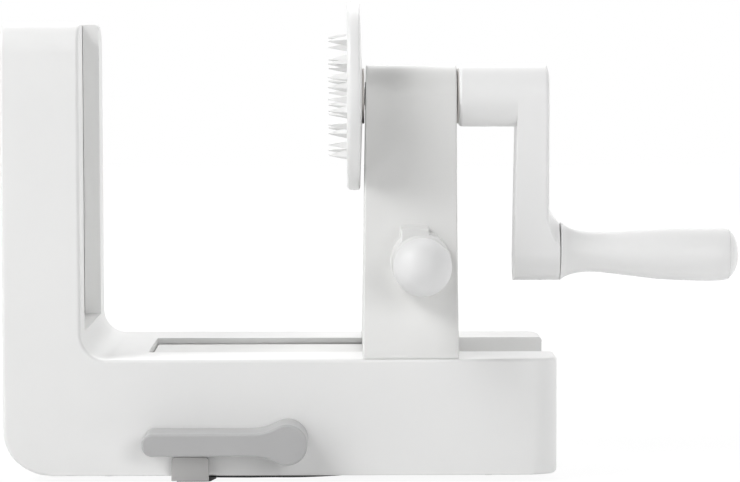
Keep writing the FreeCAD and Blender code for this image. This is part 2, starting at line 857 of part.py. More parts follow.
def holder_screw():
    """The screw through the middle of the disc into the end of the shaft."""
    seat = disc_left + screw_head
    return join(rod_x(disc_left, seat, screw_head_radius),
                rod_x(disc_left, seat + screw_length, screw_radius))


def thrust_ring(start, thick):
    """A slip ring on the shaft."""
    ring = rod_x(start, start + thick, collar_radius_outer)
    return ring.cut(rod_x(start - 1, start + thick + 1, shaft_radius))


def shaft_collar():
    """The ring between the food holder and the tower."""
    return thrust_ring(disc_right, collar_thick)


def hub_washer():
    """The ring between the tower and the crank's hub."""
    return thrust_ring(hub_left - washer_thick, washer_thick)


def crank_shaft():
    """The steel shaft from the food holder to the crank."""
    shaft = rod_x(disc_right - holder_seat, arm_right - hub_socket, shaft_radius)
    return shaft.cut(Part.makeCompound([holder_screw(), hub_screw()]))


# ---------------------------------------------------------------- crank
def arm_outline(grow, x):
    """The crank arm seen along X: two round ends and their common tangents."""
    top = hub_radius + grow
    low = arm_end_radius + grow
    lean = math.asin((top - low) / crank_radius)
    high = Vector(x, 0, shaft_height)
    deep = Vector(x, 0, grip_height)
    points = []
    for side in (1, -1):
        across = Vector(0, side * math.cos(lean), math.sin(lean) * -1)
        points.append((high + across * top, deep + across * low))
    (right_top, right_low), (left_top, left_low) = points
    return Part.Wire([
        Part.Arc(left_top, high + Z_AXIS * top, right_top).toShape(), Part.makeLine(right_top, right_low),
        Part.Arc(right_low, deep - Z_AXIS * low, left_low).toShape(), Part.makeLine(left_low, left_top),
    ])


def crank_arm():
    """The hub, the arm and the flared boss of the crank in one moulding."""
    arm_left = arm_right - arm_top_thick
    foot = grip_height - arm_end_radius
    slab = prism(arm_outline(0, arm_left - arm_draft), Vector(arm_top_thick + arm_draft, 0, 0))
    y = -body_width
    relief = prism(polygon([Vector(arm_left - arm_draft, y, foot), Vector(arm_left, y, shaft_height),
                            Vector(arm_left, y, shaft_height + 2 * hub_radius),
                            Vector(arm_left - 2 * arm_draft, y, shaft_height + 2 * hub_radius),
                            Vector(arm_left - 2 * arm_draft, y, foot)]), Vector(0, 2 * body_width, 0))
    slab = slab.cut(relief)
    hub = rod_x(hub_left, arm_right, hub_radius)
    body = join(slab, hub)

    def outer_edge(edge):
        return flat_at(edge, 0, arm_right) or flat_at(edge, 0, hub_left)

    body = fillet(body, crank_round, outer_edge)
    throat = Vector(boss_face, 0, grip_height + grip_flange)
    mouth = Vector(arm_right - crank_round, 0, grip_height + flare_radius)
    bend = (throat + mouth) * 0.5 - Vector(flare_hollow, 0, flare_hollow) * 0.7
    centre = Vector(mouth.x, 0, grip_height)
    profile = Part.Wire([Part.Arc(mouth, bend, throat).toShape(),
                         Part.makeLine(throat, Vector(boss_face, 0, grip_height)),
                         Part.makeLine(Vector(boss_face, 0, grip_height), centre),
                         Part.makeLine(centre, mouth)])
    flare = Part.Face(profile).revolve(centre, X_AXIS, 360)
    arm_sides = prism(arm_outline(0, arm_left), Vector(arm_top_thick + flare_length, 0, 0))
    flare = flare.common(arm_sides)
    cuts = [rod_x(hub_left - 1, arm_right - hub_socket, shaft_radius),
            rod_x(arm_right - hub_socket, arm_right + 1, plug_radius), hub_screw(), grip_axle()]
    return join(body, flare).cut(Part.makeCompound(cuts))


def hub_screw():
    """The screw in the crank's hub that holds the arm on the shaft."""
    seat = arm_right - hub_socket
    return join(rod_x(seat - screw_length, seat + screw_head, screw_radius),
                rod_x(seat, seat + screw_head, screw_head_radius))


def hub_plug():
    """The cap that closes the screw's hole, flush with the arm."""
    body = rod_x(arm_right - hub_socket, arm_right, plug_radius)
    head_room = rod_x(arm_right - hub_socket - 1, arm_right - plug_skin, plug_radius - plug_skin)
    return body.cut(head_room)


def drooped(shape):
    """Lean a piece of the grip's axis down about the face of the boss."""
    turned_shape = shape.copy()
    turned_shape.rotate(Vector(boss_face, 0, grip_height), Y_AXIS, grip_droop)
    return turned_shape


def grip_end():
    """X of the grip's free end before it is leant."""
    return grip_start + grip_length


def axle_end():
    """X of the axle's free end before it is leant."""
    return grip_end() - grip_cap - retainer_room


def grip_axle():
    """The steel axle fixed in the arm, with the grip running on it."""
    return drooped(rod_x(arm_right - axle_seat, axle_end(), grip_axle_radius, 0, grip_height))


def grip_retainer():
    """The clip washer that keeps the grip on its axle."""
    start = axle_end() - 2 * clip_thick
    ring = rod_x(start, start + clip_thick, retainer_radius, 0, grip_height)
    ring = ring.cut(rod_x(start - 1, start + 2 * clip_thick, grip_axle_radius, 0, grip_height))
    return drooped(ring)


def grip_profile():
    """The waisted outline of the grip from its flange to the cap's seam."""
    z = grip_height
    seam = grip_end() - grip_cap
    stations = [(grip_start + grip_lip, grip_flange)]
    stations += [(grip_start + grip_length * share, radius)
                 for share, radius in zip(grip_shares, grip_radii)]
    stations.append((seam, grip_neck_end))
    curve = Part.BSplineCurve()
    curve.interpolate([Vector(x, 0, z + radius) for x, radius in stations])
    face_edge = Vector(grip_start, 0, z + grip_flange - grip_lip)
    return Part.Wire([
        Part.makeLine(Vector(grip_start, 0, z), face_edge),
        Part.makeLine(face_edge, Vector(grip_start + grip_lip, 0, z + grip_flange)),
        curve.toShape(),
        Part.makeLine(Vector(seam, 0, z + grip_neck_end), Vector(seam, 0, z)),
        Part.makeLine(Vector(seam, 0, z), Vector(grip_start, 0, z)),
    ])


def grip():
    """The waisted handle that turns on its axle."""
    body = Part.Face(grip_profile()).revolve(Vector(grip_start, 0, grip_height), X_AXIS, 360)
    seam = grip_end() - grip_cap
    room = axle_end() - 2 * clip_thick - slide_gap
    bore = rod_x(grip_start - 1, seam + 1, grip_axle_radius + shaft_gap, 0, grip_height)
    pocket = rod_x(room, seam + 1, retainer_radius + slide_gap, 0, grip_height)
    return drooped(body.cut(Part.makeCompound([bore, pocket])))


def grip_end_cap():
    """The rounded cap that closes the grip: a well rounded edge and a shallow dome."""
    z = grip_height
    seam = grip_end() - grip_cap
    rim = Vector(seam, 0, z + grip_neck_end)
    shoulder = Vector(grip_end() - grip_dome_bulge, 0, z + grip_dome_flat)
    tip = Vector(grip_end(), 0, z)
    curve = Part.BSplineCurve()
    curve.interpolate([rim, shoulder, tip], False)
    centre = Vector(seam, 0, z)
    profile = Part.Wire([Part.makeLine(centre, rim), curve.toShape(), Part.makeLine(tip, centre)])
    return drooped(Part.Face(profile).revolve(centre, X_AXIS, 360))


# ---------------------------------------------------------------- suction lever
def lever_outline(y):
    """The lever seen along Y: a round head that flows into a narrow arm."""
    half = lever_width / 2
    z = lever_height
    fillet_x = -math.sqrt((lever_head + lever_blend) ** 2 - (half + lever_blend) ** 2)
    aim = math.atan2(half + lever_blend, fillet_x)
    touch = Vector(lever_head * math.cos(aim), 0, lever_head * math.sin(aim))
    bend_aim = (aim + math.pi / 2) / 2
    bend = Vector(fillet_x - lever_blend * math.cos(bend_aim), 0,
                  half + lever_blend - lever_blend * math.sin(bend_aim))
    tip_round = half * 0.9
    tip = -lever_length
    sweep = tip_round * (1 - math.sqrt(0.5))

    def at(point, mirror=1):
        return Vector(point[0], y, z + mirror * point[-1])

    flat_end = (tip + tip_round, half)
    round_mid = (tip + sweep, half - sweep)
    end_side = (tip, half - tip_round)
    return Part.Wire([
        Part.Arc(at(touch), Vector(lever_head, y, z), at(touch, -1)).toShape(),
        Part.Arc(at(touch, -1), at(bend, -1), at((fillet_x, half), -1)).toShape(),
        Part.makeLine(at((fillet_x, half), -1), at(flat_end, -1)),
        Part.Arc(at(flat_end, -1), at(round_mid, -1), at(end_side, -1)).toShape(),
        Part.makeLine(at(end_side, -1), at(end_side)),
        Part.Arc(at(end_side), at(round_mid), at(flat_end)).toShape(),
        Part.makeLine(at(flat_end), at((fillet_x, half))),
        Part.Arc(at((fillet_x, half)), at(bend), at(touch)).toShape(),
    ])


def lever():
    """The moulded lever: open at the back, with a hub for the cam shaft."""
    back = -half_width - slide_gap
    body = prism(lever_outline(-lever_front), Vector(0, back + lever_front, 0))

    def front(edge):
        return flat_at(edge, 1, -lever_front)

    body = fillet(body, lever_bevel, front)
    inner = lever_outline(lever_wall - lever_front).makeOffset2D(-lever_wall)
    hollow = prism(inner, Vector(0, back - lever_wall + lever_front + 1, 0))
    hub = rod_y(lever_wall / 2 - lever_front, back, lever_head - lever_wall / 2)
    body = join(body.cut(hollow), hub)
    return body.cut(Part.makeCompound([lever_shaft_rod(), lever_pin()]))


def lever_shaft_rod():
    """The plain rod of the cam shaft."""
    return rod_y(-lever_front + 2 * lever_wall, bearing_near + bearing_wide, cam_shaft_radius)


def cam_shaft():
    """The shaft that joins the lever and the cam."""
    return lever_shaft_rod().cut(lever_pin())


def lever_pin():
    """The cross pin through the lever's hub and the shaft."""
    reach = lever_head - lever_wall / 2
    y = (-lever_front - half_width) / 2
    return rod_z(lever_height - reach, lever_height + reach, pin_radius, 0, y)


def lever_bush():
    """The bush in the housing's wall."""
    body = rod_y(-half_width, -half_width + 2 * wall, bush_outer)
    return body.cut(rod_y(-body_width, 0, cam_shaft_radius + shaft_gap))


def suction_cam():
    """A cam of constant breadth: its radius grows evenly through half a turn and shrinks back."""
    count = 8
    sides = []
    for mirror in (-1, 1):
        points = []
        for i in range(count + 1):
            turn = math.pi * i / count
            radius = cam_low + cam_lift * i / count
            points.append(Vector(mirror * radius * math.sin(turn), -cam_width / 2,
                                 lever_height + radius * math.cos(turn)))
        curve = Part.BSplineCurve()
        curve.interpolate(points)
        sides.append(curve.toShape())
    sides[1].reverse()
    cam = prism(Part.Wire([sides[0], sides[1]]), Vector(0, cam_width, 0))
    return cam.cut(rod_y(-cam_width, cam_width, cam_shaft_radius))


def lift_yoke():
    """The yoke round the cam and the stem that pulls the cup's middle up."""
    half = yoke_width / 2
    high = lever_height + cam_low + slide_gap
    low = lever_height - cam_low - cam_lift - slide_gap
    frame = block(-half, half, -yoke_depth / 2, yoke_depth / 2, low - yoke_bar, high + yoke_bar)
    side = cam_low + cam_lift + 2 * slide_gap
    window = block(-side, side, -yoke_depth, yoke_depth, low, high)
    plate_top = cup_skin + slide_gap + plate_thick
    stem = rod_z(plate_top, low - yoke_bar / 2, stem_radius)
    return join(frame.cut(window), stem)


def pressure_plate():
    """The round plate at the foot of the stem, held inside the cup's hub."""
    low = cup_skin + slide_gap
    return rod_z(low, low + plate_thick, plate_radius)


def suction_cup():
    """The rubber cup with its hub and the ear that runs out under the housing."""
    points = [Vector(0, 0, 0), Vector(cup_radius, 0, 0), Vector(cup_radius, 0, cup_rim / 2),
              Vector(cup_radius - cup_rim / 2, 0, cup_rim), Vector(cup_flat_radius, 0, cup_rim),
              Vector(cup_hub_radius + cup_crown, 0, cup_skin + cup_rim),
              Vector(cup_hub_radius, 0, cup_crown), Vector(0, 0, cup_crown)]
    cup = turned(points, Vector(0, 0, 0), Z_AXIS)
    ear = block(tab_left + tab_round, tab_left + tab_width - tab_round, -half_width - tab_off_wall, 0,
                ear_lift, ear_lift + ear_thick)
    low = cup_skin
    pocket = rod_z(low, low + plate_thick + 2 * slide_gap, plate_radius + slide_gap)
    mouth = rod_z(low, cup_crown + 1, stem_radius + slide_gap)
    return join(cup, ear).cut(Part.makeCompound([pocket, mouth]))


def release_tab():
    """The upturned tab that lifts the cup's rim."""
    near = -half_width - tab_off_wall - tab_thick
    tab = block(tab_left, tab_left + tab_width, near, near + tab_thick, tab_bottom, tab_bottom + tab_height)

    def top_corner(edge):
        upright = edge.BoundBox.YLength > tab_thick / 2
        return upright and flat_at(edge, 2, tab_bottom + tab_height)

    tab = fillet(tab, tab_round, top_corner)
    ear_room = block(tab_left + tab_round, tab_left + tab_width - tab_round, near + tab_thick / 2, 0,
                     0, ear_lift + ear_thick)
    return tab.cut(ear_room)


NODES = (
    body_shell, bottom_cover, cover_screws, rubber_feet, guide_rail, rail_screws, lever_bush,
    suction_cup, release_tab,
    cartridge_frame, slicing_blade, shredding_comb, coring_tube, blade_rivets,
    tower_shell, carriage_slide, slide_screws, front_bush, rear_bush, knob_plate, knob, knob_screw,
    crank_shaft, food_holder, holder_screw, shaft_collar, hub_washer, crank_arm, hub_screw, hub_plug,
    grip_axle, grip_retainer,
    grip, grip_end_cap,
    lever, cam_shaft, lever_pin, suction_cam,
    lift_yoke, pressure_plate,
)


def main():
    """Write one STEP file for each piece."""
    os.makedirs("parts", exist_ok=True)
    for make in NODES:
        shape = make()
        shape.exportStep("parts/" + make.__name__ + ".step")


main()
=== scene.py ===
"""The finish of a hand cranked vegetable spiralizer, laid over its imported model, in metres.

+X runs from the blade frame to the crank, +Z is up, and the knob and the lock lever are on the -Y side.
"""
import math

import bmesh
import bpy
from mathutils import Matrix, Vector


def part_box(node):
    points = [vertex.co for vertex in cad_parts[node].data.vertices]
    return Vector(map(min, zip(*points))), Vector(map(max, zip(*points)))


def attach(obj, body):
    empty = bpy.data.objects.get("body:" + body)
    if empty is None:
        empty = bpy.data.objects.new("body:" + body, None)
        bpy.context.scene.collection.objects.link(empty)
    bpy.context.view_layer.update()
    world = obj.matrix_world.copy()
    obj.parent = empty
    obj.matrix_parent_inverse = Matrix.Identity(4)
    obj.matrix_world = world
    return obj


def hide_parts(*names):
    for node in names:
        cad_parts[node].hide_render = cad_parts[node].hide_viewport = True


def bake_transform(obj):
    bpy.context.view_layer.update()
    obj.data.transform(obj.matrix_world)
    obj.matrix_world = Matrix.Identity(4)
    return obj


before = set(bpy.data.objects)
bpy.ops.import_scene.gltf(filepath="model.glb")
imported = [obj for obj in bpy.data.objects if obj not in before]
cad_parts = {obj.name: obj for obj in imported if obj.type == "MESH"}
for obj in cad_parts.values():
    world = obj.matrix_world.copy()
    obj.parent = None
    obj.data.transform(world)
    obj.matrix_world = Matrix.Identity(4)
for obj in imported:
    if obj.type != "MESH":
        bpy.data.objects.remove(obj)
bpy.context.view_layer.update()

# ---------------------------------------------------------------- sizes, in metres
MM = 0.001
MERGE = 0.002 * MM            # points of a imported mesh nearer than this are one
FLAT = math.radians(0.5)      # facets that turn less than this are one flat
EDGE = 0.45 * MM              # rounding of a moulded edge
FINE_EDGE = 0.2 * MM          # rounding of a turned or stamped edge
SHARP = 35.0                  # degrees, edges sharper than this are rounded

BASE_END = 111.6 * MM         # the open end of the base
HALF_WIDTH = 58.0 * MM        # from the middle of the base to its side
CORNER = (7.0 * MM, 11.0 * MM)  # the open end's upright corners: packed, and softer as moulded
CORNER_ROOM = 3.5 * MM        # nearer to a corner's axis lie only the pockets
TOE = (5.0 * MM, 2.2 * MM)    # the rounding under the open end: packed, and as moulded
TOE_HOLD = 1.6                # the toe's change fades from where the rim's rise is down to 1 over this
UNDERSIDE = 2.0 * MM          # height of the base above the table
RIM = (1.7 * MM, 0.4)         # room of the lower rim's rounding, and how much of that stays
RIM_RISE = 0.8 * MM           # the lower rim tucks up by this much
RIM_ZONE = 12.0 * MM          # and the rise runs out at this height
HEEL = -97.4 * MM             # here the rounded heel ends and the straight rim starts
FAR_LIP = 25.0 * MM           # the far lip lies further than this from the middle
FAR_LIP_SHORT = 1.2 * MM      # and ends this much sooner
FOOT_DROP = 0.22 * MM         # the tower's lowest rim is brought down by this much

ARM_FACE = 110.9 * MM         # outer face of the crank's arm
BOSS_FACE = 115.6 * MM        # end of its boss, at the handle
FLARE_DIP = 2.0 * MM          # the flare starts this far behind the arm's face
FLARE_ROOM = 15.5 * MM        # its height above the handle's axle
FLARE_CLIMB = 0.28            # how much higher it stands at the arm
FLARE_FADE = 25.0 * MM        # height above the flare in which the climb runs out

TOOTH_LENGTH = 8.1 * MM
TOOTH_ROOT = 0.6 * MM
TOOTH_BASE = 1.55 * MM
TOOTH_TIP = 0.32 * MM
TOOTH_RINGS = ((26.3 * MM, 8, 18.6), (20.9 * MM, 8, -2.9), (7.4 * MM, 4, 31.2))
DISC_FRONT_ROUND = 1.9 * MM
DISC_BACK_ROUND = 1.3 * MM
DISC_RIM = 5.6 * MM
DISC_BOSS = 11.8 * MM         # radius of the boss behind the disc
DISC_BORE = 4.0 * MM          # radius of the shaft's seat
DISC_BORE_DEPTH = 4.5 * MM

SCREW_HEAD = 2.8 * MM
SCREW_HEAD_DEPTH = 1.4 * MM
SCREW_CORE = 1.5 * MM
THREAD_PITCH = 0.9 * MM
THREAD_DEPTH = 0.22 * MM
RIVET_HEAD = 1.6 * MM
RIVET_DOME = 0.5 * MM

COMB_TEETH = 9
COMB_PITCH = 3.6 * MM

KNOB_NECK = 6.0 * MM          # radius of the neck behind the ball

GRIP_DROOP = 1.2              # degrees
GRIP_LENGTH = 76.9 * MM
GRIP_GAP = 0.4 * MM           # between the boss and the handle
GRIP_STAND = 0.6 * MM         # the end stands this much further off the boss than its length
GRIP_BORE = 3.06 * MM
GRIP_POCKET = (6.3 * MM, 7.0 * MM)  # radius and depth of the axle end's room under the cap
GRIP_CAP = 4.5 * MM           # length of the end cap
GRIP_FLANGE = 12.5 * MM       # radius at the boss
GRIP_SEAM = 10.7 * MM         # radius at the cap's seam
GRIP_DOME = 7.0 * MM          # depth of the whole dome, whose end the cap is
# share of the length, and radius in mm
GRIP_STATIONS = ((0.035, 10.7), (0.1, 9.15), (0.2, 8.65), (0.36, 9.75),
                 (0.56, 11.2), (0.78, 11.65), (0.9, 11.35))

LATHE_STEPS = 96
SCREW_STEPS = 32
ARC_STEPS = 6

# ---------------------------------------------------------------- places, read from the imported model
def low(node):
    """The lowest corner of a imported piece."""
    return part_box(node)[0]


def high(node):
    """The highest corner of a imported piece."""
    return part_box(node)[1]


def middle(node):
    """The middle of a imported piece's box."""
    return (low(node) + high(node)) / 2


SHAFT_Z = middle("crank_shaft").z
KNOB_AXIS = middle("knob_plate").x
KNOB_Z = middle("knob").z
GRIP_Z = middle("grip_retainer").z


# ---------------------------------------------------------------- meshes
def linked(name, mesh):
    """A new object in the scene that holds the mesh."""
    obj = bpy.data.objects.new(name, mesh)
    bpy.context.scene.collection.objects.link(obj)
    return obj


def from_work(name, work, smooth=SHARP):
    """Turn a finished bmesh into an object with smooth shading up to an angle."""
    mesh = bpy.data.meshes.new(name)
    work.to_mesh(mesh)
    work.free()
    mesh.polygons.foreach_set("use_smooth", [True] * len(mesh.polygons))
    mesh.set_sharp_from_angle(angle=math.radians(smooth))
    return linked(name, mesh)


def settled(obj):
    """The object with its modifiers worked into a plain mesh."""
    depsgraph = bpy.context.evaluated_depsgraph_get()
    depsgraph.update()
    mesh = bpy.data.meshes.new_from_object(obj.evaluated_get(depsgraph), depsgraph=depsgraph)
    obj.modifiers.clear()
    obj.data = mesh
    return obj


def rounded(obj, width, segments=2, sharp=SHARP):
    """Round the sharp edges of an object over and keep its flats flat."""
    edge = obj.modifiers.new("edge", "BEVEL")
    edge.width = width
    edge.segments = segments
    edge.limit_method = "ANGLE"
    edge.angle_limit = math.radians(sharp)
    edge.miter_outer = "MITER_ARC"
    normals = obj.modifiers.new("normals", "WEIGHTED_NORMAL")
    normals.keep_sharp = True
    return settled(obj)


def softened(name, node, width, segments=2, eased=None):
    """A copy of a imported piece, its points eased where a rule is given and its sharp edges rounded."""
    work = bmesh.new()
    work.from_mesh(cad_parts[node].data)
    bmesh.ops.remove_doubles(work, verts=work.verts, dist=MERGE)
    bmesh.ops.dissolve_limit(work, angle_limit=FLAT, verts=work.verts, edges=work.edges)
    if eased:
        for vertex in work.verts:
            vertex.co = eased(vertex.co)
    obj = from_work(name, work, smooth=180)
    return rounded(obj, width, segments)


def toe_level(x, radius):
    """The height of the base's underside near its open end, for a toe of this radius."""
    inside = max(x - (BASE_END - radius), 0.0)
    return UNDERSIDE + radius - math.sqrt(max(radius ** 2 - inside ** 2, 0.0))


def eased_housing(place):
    """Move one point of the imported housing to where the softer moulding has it."""
    x, y, z = place
    room, kept = RIM
    beside_rim = HEEL < x + MERGE and x < BASE_END - CORNER[0] + MERGE
    if beside_rim and z < UNDERSIDE + room and abs(y) > HALF_WIDTH - room:
        y = math.copysign(HALF_WIDTH - (HALF_WIDTH - abs(y)) * kept, y)
        z = UNDERSIDE + (z - UNDERSIDE) * kept
    if z < RIM_ZONE:
        share = (RIM_ZONE - z) / (RIM_ZONE - UNDERSIDE)
        packed, softer = TOE
        z -= (toe_level(x, packed) - toe_level(x, softer)) * min(share * TOE_HOLD, 1.0)
        z += RIM_RISE * share
    packed, softer = CORNER
    aside = Vector((x - (BASE_END - packed), abs(y) - (HALF_WIDTH - packed)))
    if min(aside) > -MERGE and aside.length > CORNER_ROOM:
        turned = aside * ((aside.length + softer - packed) / aside.length)
        x = BASE_END - softer + turned.x
        y = math.copysign(HALF_WIDTH - softer + turned.y, y)
    if y > FAR_LIP and x > BASE_END - softer and z > RIM_ZONE:
        x -= FAR_LIP_SHORT * (x - (BASE_END - softer)) / softer
    return Vector((x, y, z))


def eased_arm(place):
    """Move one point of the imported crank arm, so that its flare climbs further up the arm."""
    x, y, z = place
    height = z - GRIP_Z
    if ARM_FACE - FLARE_DIP < x and 0 < height < FLARE_ROOM + FLARE_FADE:
        share = min((BOSS_FACE - x) / (BOSS_FACE - ARM_FACE), 1.0)
        fade = min((FLARE_ROOM + FLARE_FADE - height) / FLARE_FADE, 1.0)
        z += min(height, FLARE_ROOM) * FLARE_CLIMB * share * fade
    return Vector((x, y, z))


def lowered(obj, level, drop):
    """The piece with its lowest rim, which lies at a level, brought down a little."""
    for vertex in obj.data.vertices:
        if vertex.co.z < level + EDGE:
            vertex.co.z -= drop
    return obj


def arc_corner(before, corner, after, radius, steps):
    """Points that round one corner of an outline."""
    here = Vector(corner)
    back = (Vector(before) - here).normalized()
    ahead = (Vector(after) - here).normalized()
    half = back.angle(ahead) / 2
    centre = here + (back + ahead).normalized() * (radius / math.sin(half))
    first = (here + back * (radius / math.tan(half)) - centre).normalized()
    last = (here + ahead * (radius / math.tan(half)) - centre).normalized()
    return [tuple(centre + first.slerp(last, k / steps) * radius) for k in range(steps + 1)]


def outline(corners):
    """An open outline through (x, y, radius) corners, each rounded by its radius."""
    points = []
    for i, (x, y, radius) in enumerate(corners):
        if radius == 0:
            points.append((x, y))
        else:
            points += arc_corner(corners[i - 1][:2], (x, y), corners[i + 1][:2], radius, ARC_STEPS)
    return points


def smooth_run(points, steps=8):
    """A smooth curve through points, each span a cubic that keeps its neighbours' slope."""
    count = len(points)
    slopes = []
    for i in range(count):
        before = points[max(i - 1, 0)]
        after = points[min(i + 1, count - 1)]
        slopes.append((after[1] - before[1]) / (after[0] - before[0]))
    run = []
    for i in range(count - 1):
        (x0, y0), (x1, y1) = points[i], points[i + 1]
        span = x1 - x0
        for k in range(steps):
            t = k / steps
            rise = (2 * t ** 3 - 3 * t ** 2 + 1) * y0 + (t ** 3 - 2 * t ** 2 + t) * span * slopes[i]
            rise += (3 * t ** 2 - 2 * t ** 3) * y1 + (t ** 3 - t ** 2) * span * slopes[i + 1]
            run.append((x0 + span * t, rise))
    return run + [points[-1]]


def lathe(name, profile, steps=LATHE_STEPS, bored=False):
    """A piece turned about the X axis from (x, radius) points; a bored one closes on its first point."""
    work = bmesh.new()
    rings = []
    for x, radius in profile:
        if radius < MERGE:
            rings.append([work.verts.new((x, 0, 0))])
            continue
        turns = [2 * math.pi * i / steps for i in range(steps)]
        rings.append([work.verts.new((x, radius * math.cos(t), radius * math.sin(t))) for t in turns])
    pairs = list(zip(rings, rings[1:]))
    if bored:
        pairs.append((rings[-1], rings[0]))
    for first, second in pairs:
        for i in range(steps):
            j = (i + 1) % steps
            corners = [first[i % len(first)], first[j % len(first)],
                       second[j % len(second)], second[i % len(second)]]
            work.faces.new(list(dict.fromkeys(corners)))
    bmesh.ops.recalc_face_normals(work, faces=work.faces)
    return from_work(name, work)


def moved(obj, matrix):
    """Move an object's mesh, so that the object itself stays at the origin."""
    obj.data.transform(matrix)
    return obj


def on_axis(node):
    """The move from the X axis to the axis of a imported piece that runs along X."""
    centre = middle(node)
    return Matrix.Translation((0, centre.y, centre.z))


def along_y(x, z):
    """The move that turns the X axis to -Y and sets it at x, z."""
    return Matrix.Translation((x, 0, z)) @ Matrix.Rotation(math.radians(-90), 4, "Z")


def along_z(x, y):
    """The move that turns the X axis to +Z and sets it at x, y."""
    return Matrix.Translation((x, y, 0)) @ Matrix.Rotation(math.radians(-90), 4, "Y")


def extruded(name, points, depth, place):
    """A slab from a closed outline of (x, z) points, laid from y = 0 to depth and then placed."""
    work = bmesh.new()
    near = [work.verts.new((x, 0, z)) for x, z in points]
    far = [work.verts.new((x, depth, z)) for x, z in points]
    work.faces.new(near)
    work.faces.new(far[::-1])
    for i in range(len(points)):
        j = (i + 1) % len(points)
        work.faces.new([near[i], far[i], far[j], near[j]])
    bmesh.ops.recalc_face_normals(work, faces=work.faces)
    obj = from_work(name, work, smooth=30)
    return moved(obj, place)


def cut(obj, tool):
    """Cut one object out of another and drop the tool."""
    step = obj.modifiers.new("cut", "BOOLEAN")
    step.operation = "DIFFERENCE"
    step.solver = "EXACT"
    step.object = tool
    settled(obj)
    bpy.data.objects.remove(tool)
    return obj


def drooped():
    """The lean of the handle about the face of its boss."""
    face = high("crank_arm").x
    reach = middle("grip_retainer").x - face
    pivot = Vector((face, 0, GRIP_Z + math.sin(math.radians(GRIP_DROOP)) * reach))
    lean = Matrix.Rotation(math.radians(GRIP_DROOP), 4, "Y")
    return Matrix.Translation(pivot) @ lean


# ---------------------------------------------------------------- finishes
class Finish:
    """A material under construction, with its pattern fixed to the piece."""

    def __init__(self, name):
        self.material = bpy.data.materials.new(name)
        self.material.use_nodes = True
        self.tree = self.material.node_tree
        self.shader = self.tree.nodes["Principled BSDF"]
        self.place = self.tree.nodes.new("ShaderNodeTexCoord").outputs["Object"]

    def link(self, source, target):
        """Join one socket to another."""
        self.tree.links.new(source, target)

    def stretched(self, scale):
        """The place with its three directions scaled, for grain that runs one way."""
        mapping = self.tree.nodes.new("ShaderNodeMapping")
        mapping.inputs["Scale"].default_value = scale
        self.link(self.place, mapping.inputs["Vector"])
        return mapping.outputs["Vector"]

    def noise(self, scale, detail=2.0, place=None):
        """Cloudy values from 0 to 1, scale of them to a metre."""
        node = self.tree.nodes.new("ShaderNodeTexNoise")
        node.inputs["Scale"].default_value = scale
        node.inputs["Detail"].default_value = detail
        self.link(place or self.place, node.inputs["Vector"])
        return node.outputs["Fac"]

    def between(self, value, low_end, high_end):
        """Spread a cloudy value between two numbers."""
        node = self.tree.nodes.new("ShaderNodeMapRange")
        node.inputs["From Min"].default_value = 0.5 - CLOUD_SPREAD / 2
        node.inputs["From Max"].default_value = 0.5 + CLOUD_SPREAD / 2
        node.inputs["To Min"].default_value = low_end
        node.inputs["To Max"].default_value = high_end
        self.link(value, node.inputs["Value"])
        return node.outputs["Result"]

    def tint(self, value, first, second):
        """Mix two colours by a value."""
        node = self.tree.nodes.new("ShaderNodeMix")
        node.data_type = "RGBA"
        node.inputs["A"].default_value = (*first, 1.0)
        node.inputs["B"].default_value = (*second, 1.0)
        self.link(value, node.inputs["Factor"])
        return node.outputs["Result"]

    def bump(self, value, depth):
        """Raise the surface by a value."""
        node = self.tree.nodes.new("ShaderNodeBump")
        node.inputs["Strength"].default_value = 1.0
        node.inputs["Distance"].default_value = depth
        self.link(value, node.inputs["Height"])
        self.link(node.outputs["Normal"], self.shader.inputs["Normal"])


CLOUD_SPREAD = 0.3            # of a cloudy value's range, what is used
SHEEN_ROUGHNESS = 0.25
GROUND_DEPTH = 0.004 * MM     # of the lines in ground steel


def moulded(name, colour, shade, rough, grain=2600.0, depth=0.006 * MM, specular=0.5, sheen=0.0):
    """Moulded plastic: faint clouds in the colour, uneven gloss and a fine spark-eroded grain."""
    finish = Finish(name)
    cloud = finish.between(finish.noise(28.0, 3.0), 0.0, 1.0)
    finish.link(finish.tint(cloud, colour, shade), finish.shader.inputs["Base Color"])
    gloss = finish.between(finish.noise(90.0, 4.0), rough - 0.035, rough + 0.035)
    finish.link(gloss, finish.shader.inputs["Roughness"])
    finish.shader.inputs["Specular IOR Level"].default_value = specular
    finish.shader.inputs["Sheen Weight"].default_value = sheen
    finish.shader.inputs["Sheen Roughness"].default_value = SHEEN_ROUGHNESS
    finish.bump(finish.noise(grain, 3.0), depth)
    return finish.material


def ground(name, colour, rough, scale):
    """Ground steel: fine lines that run across the stretched directions."""
    finish = Finish(name)
    lines = finish.noise(1.0, 4.0, finish.stretched(scale))
    dull = tuple(channel * 0.86 for channel in colour)
    streaks = finish.between(lines, 0.0, 1.0)
    finish.link(finish.tint(streaks, colour, dull), finish.shader.inputs["Base Color"])
    finish.link(finish.between(lines, rough - 0.06, rough + 0.08), finish.shader.inputs["Roughness"])
    finish.shader.inputs["Metallic"].default_value = 1.0
    finish.bump(lines, GROUND_DEPTH)
    return finish.material


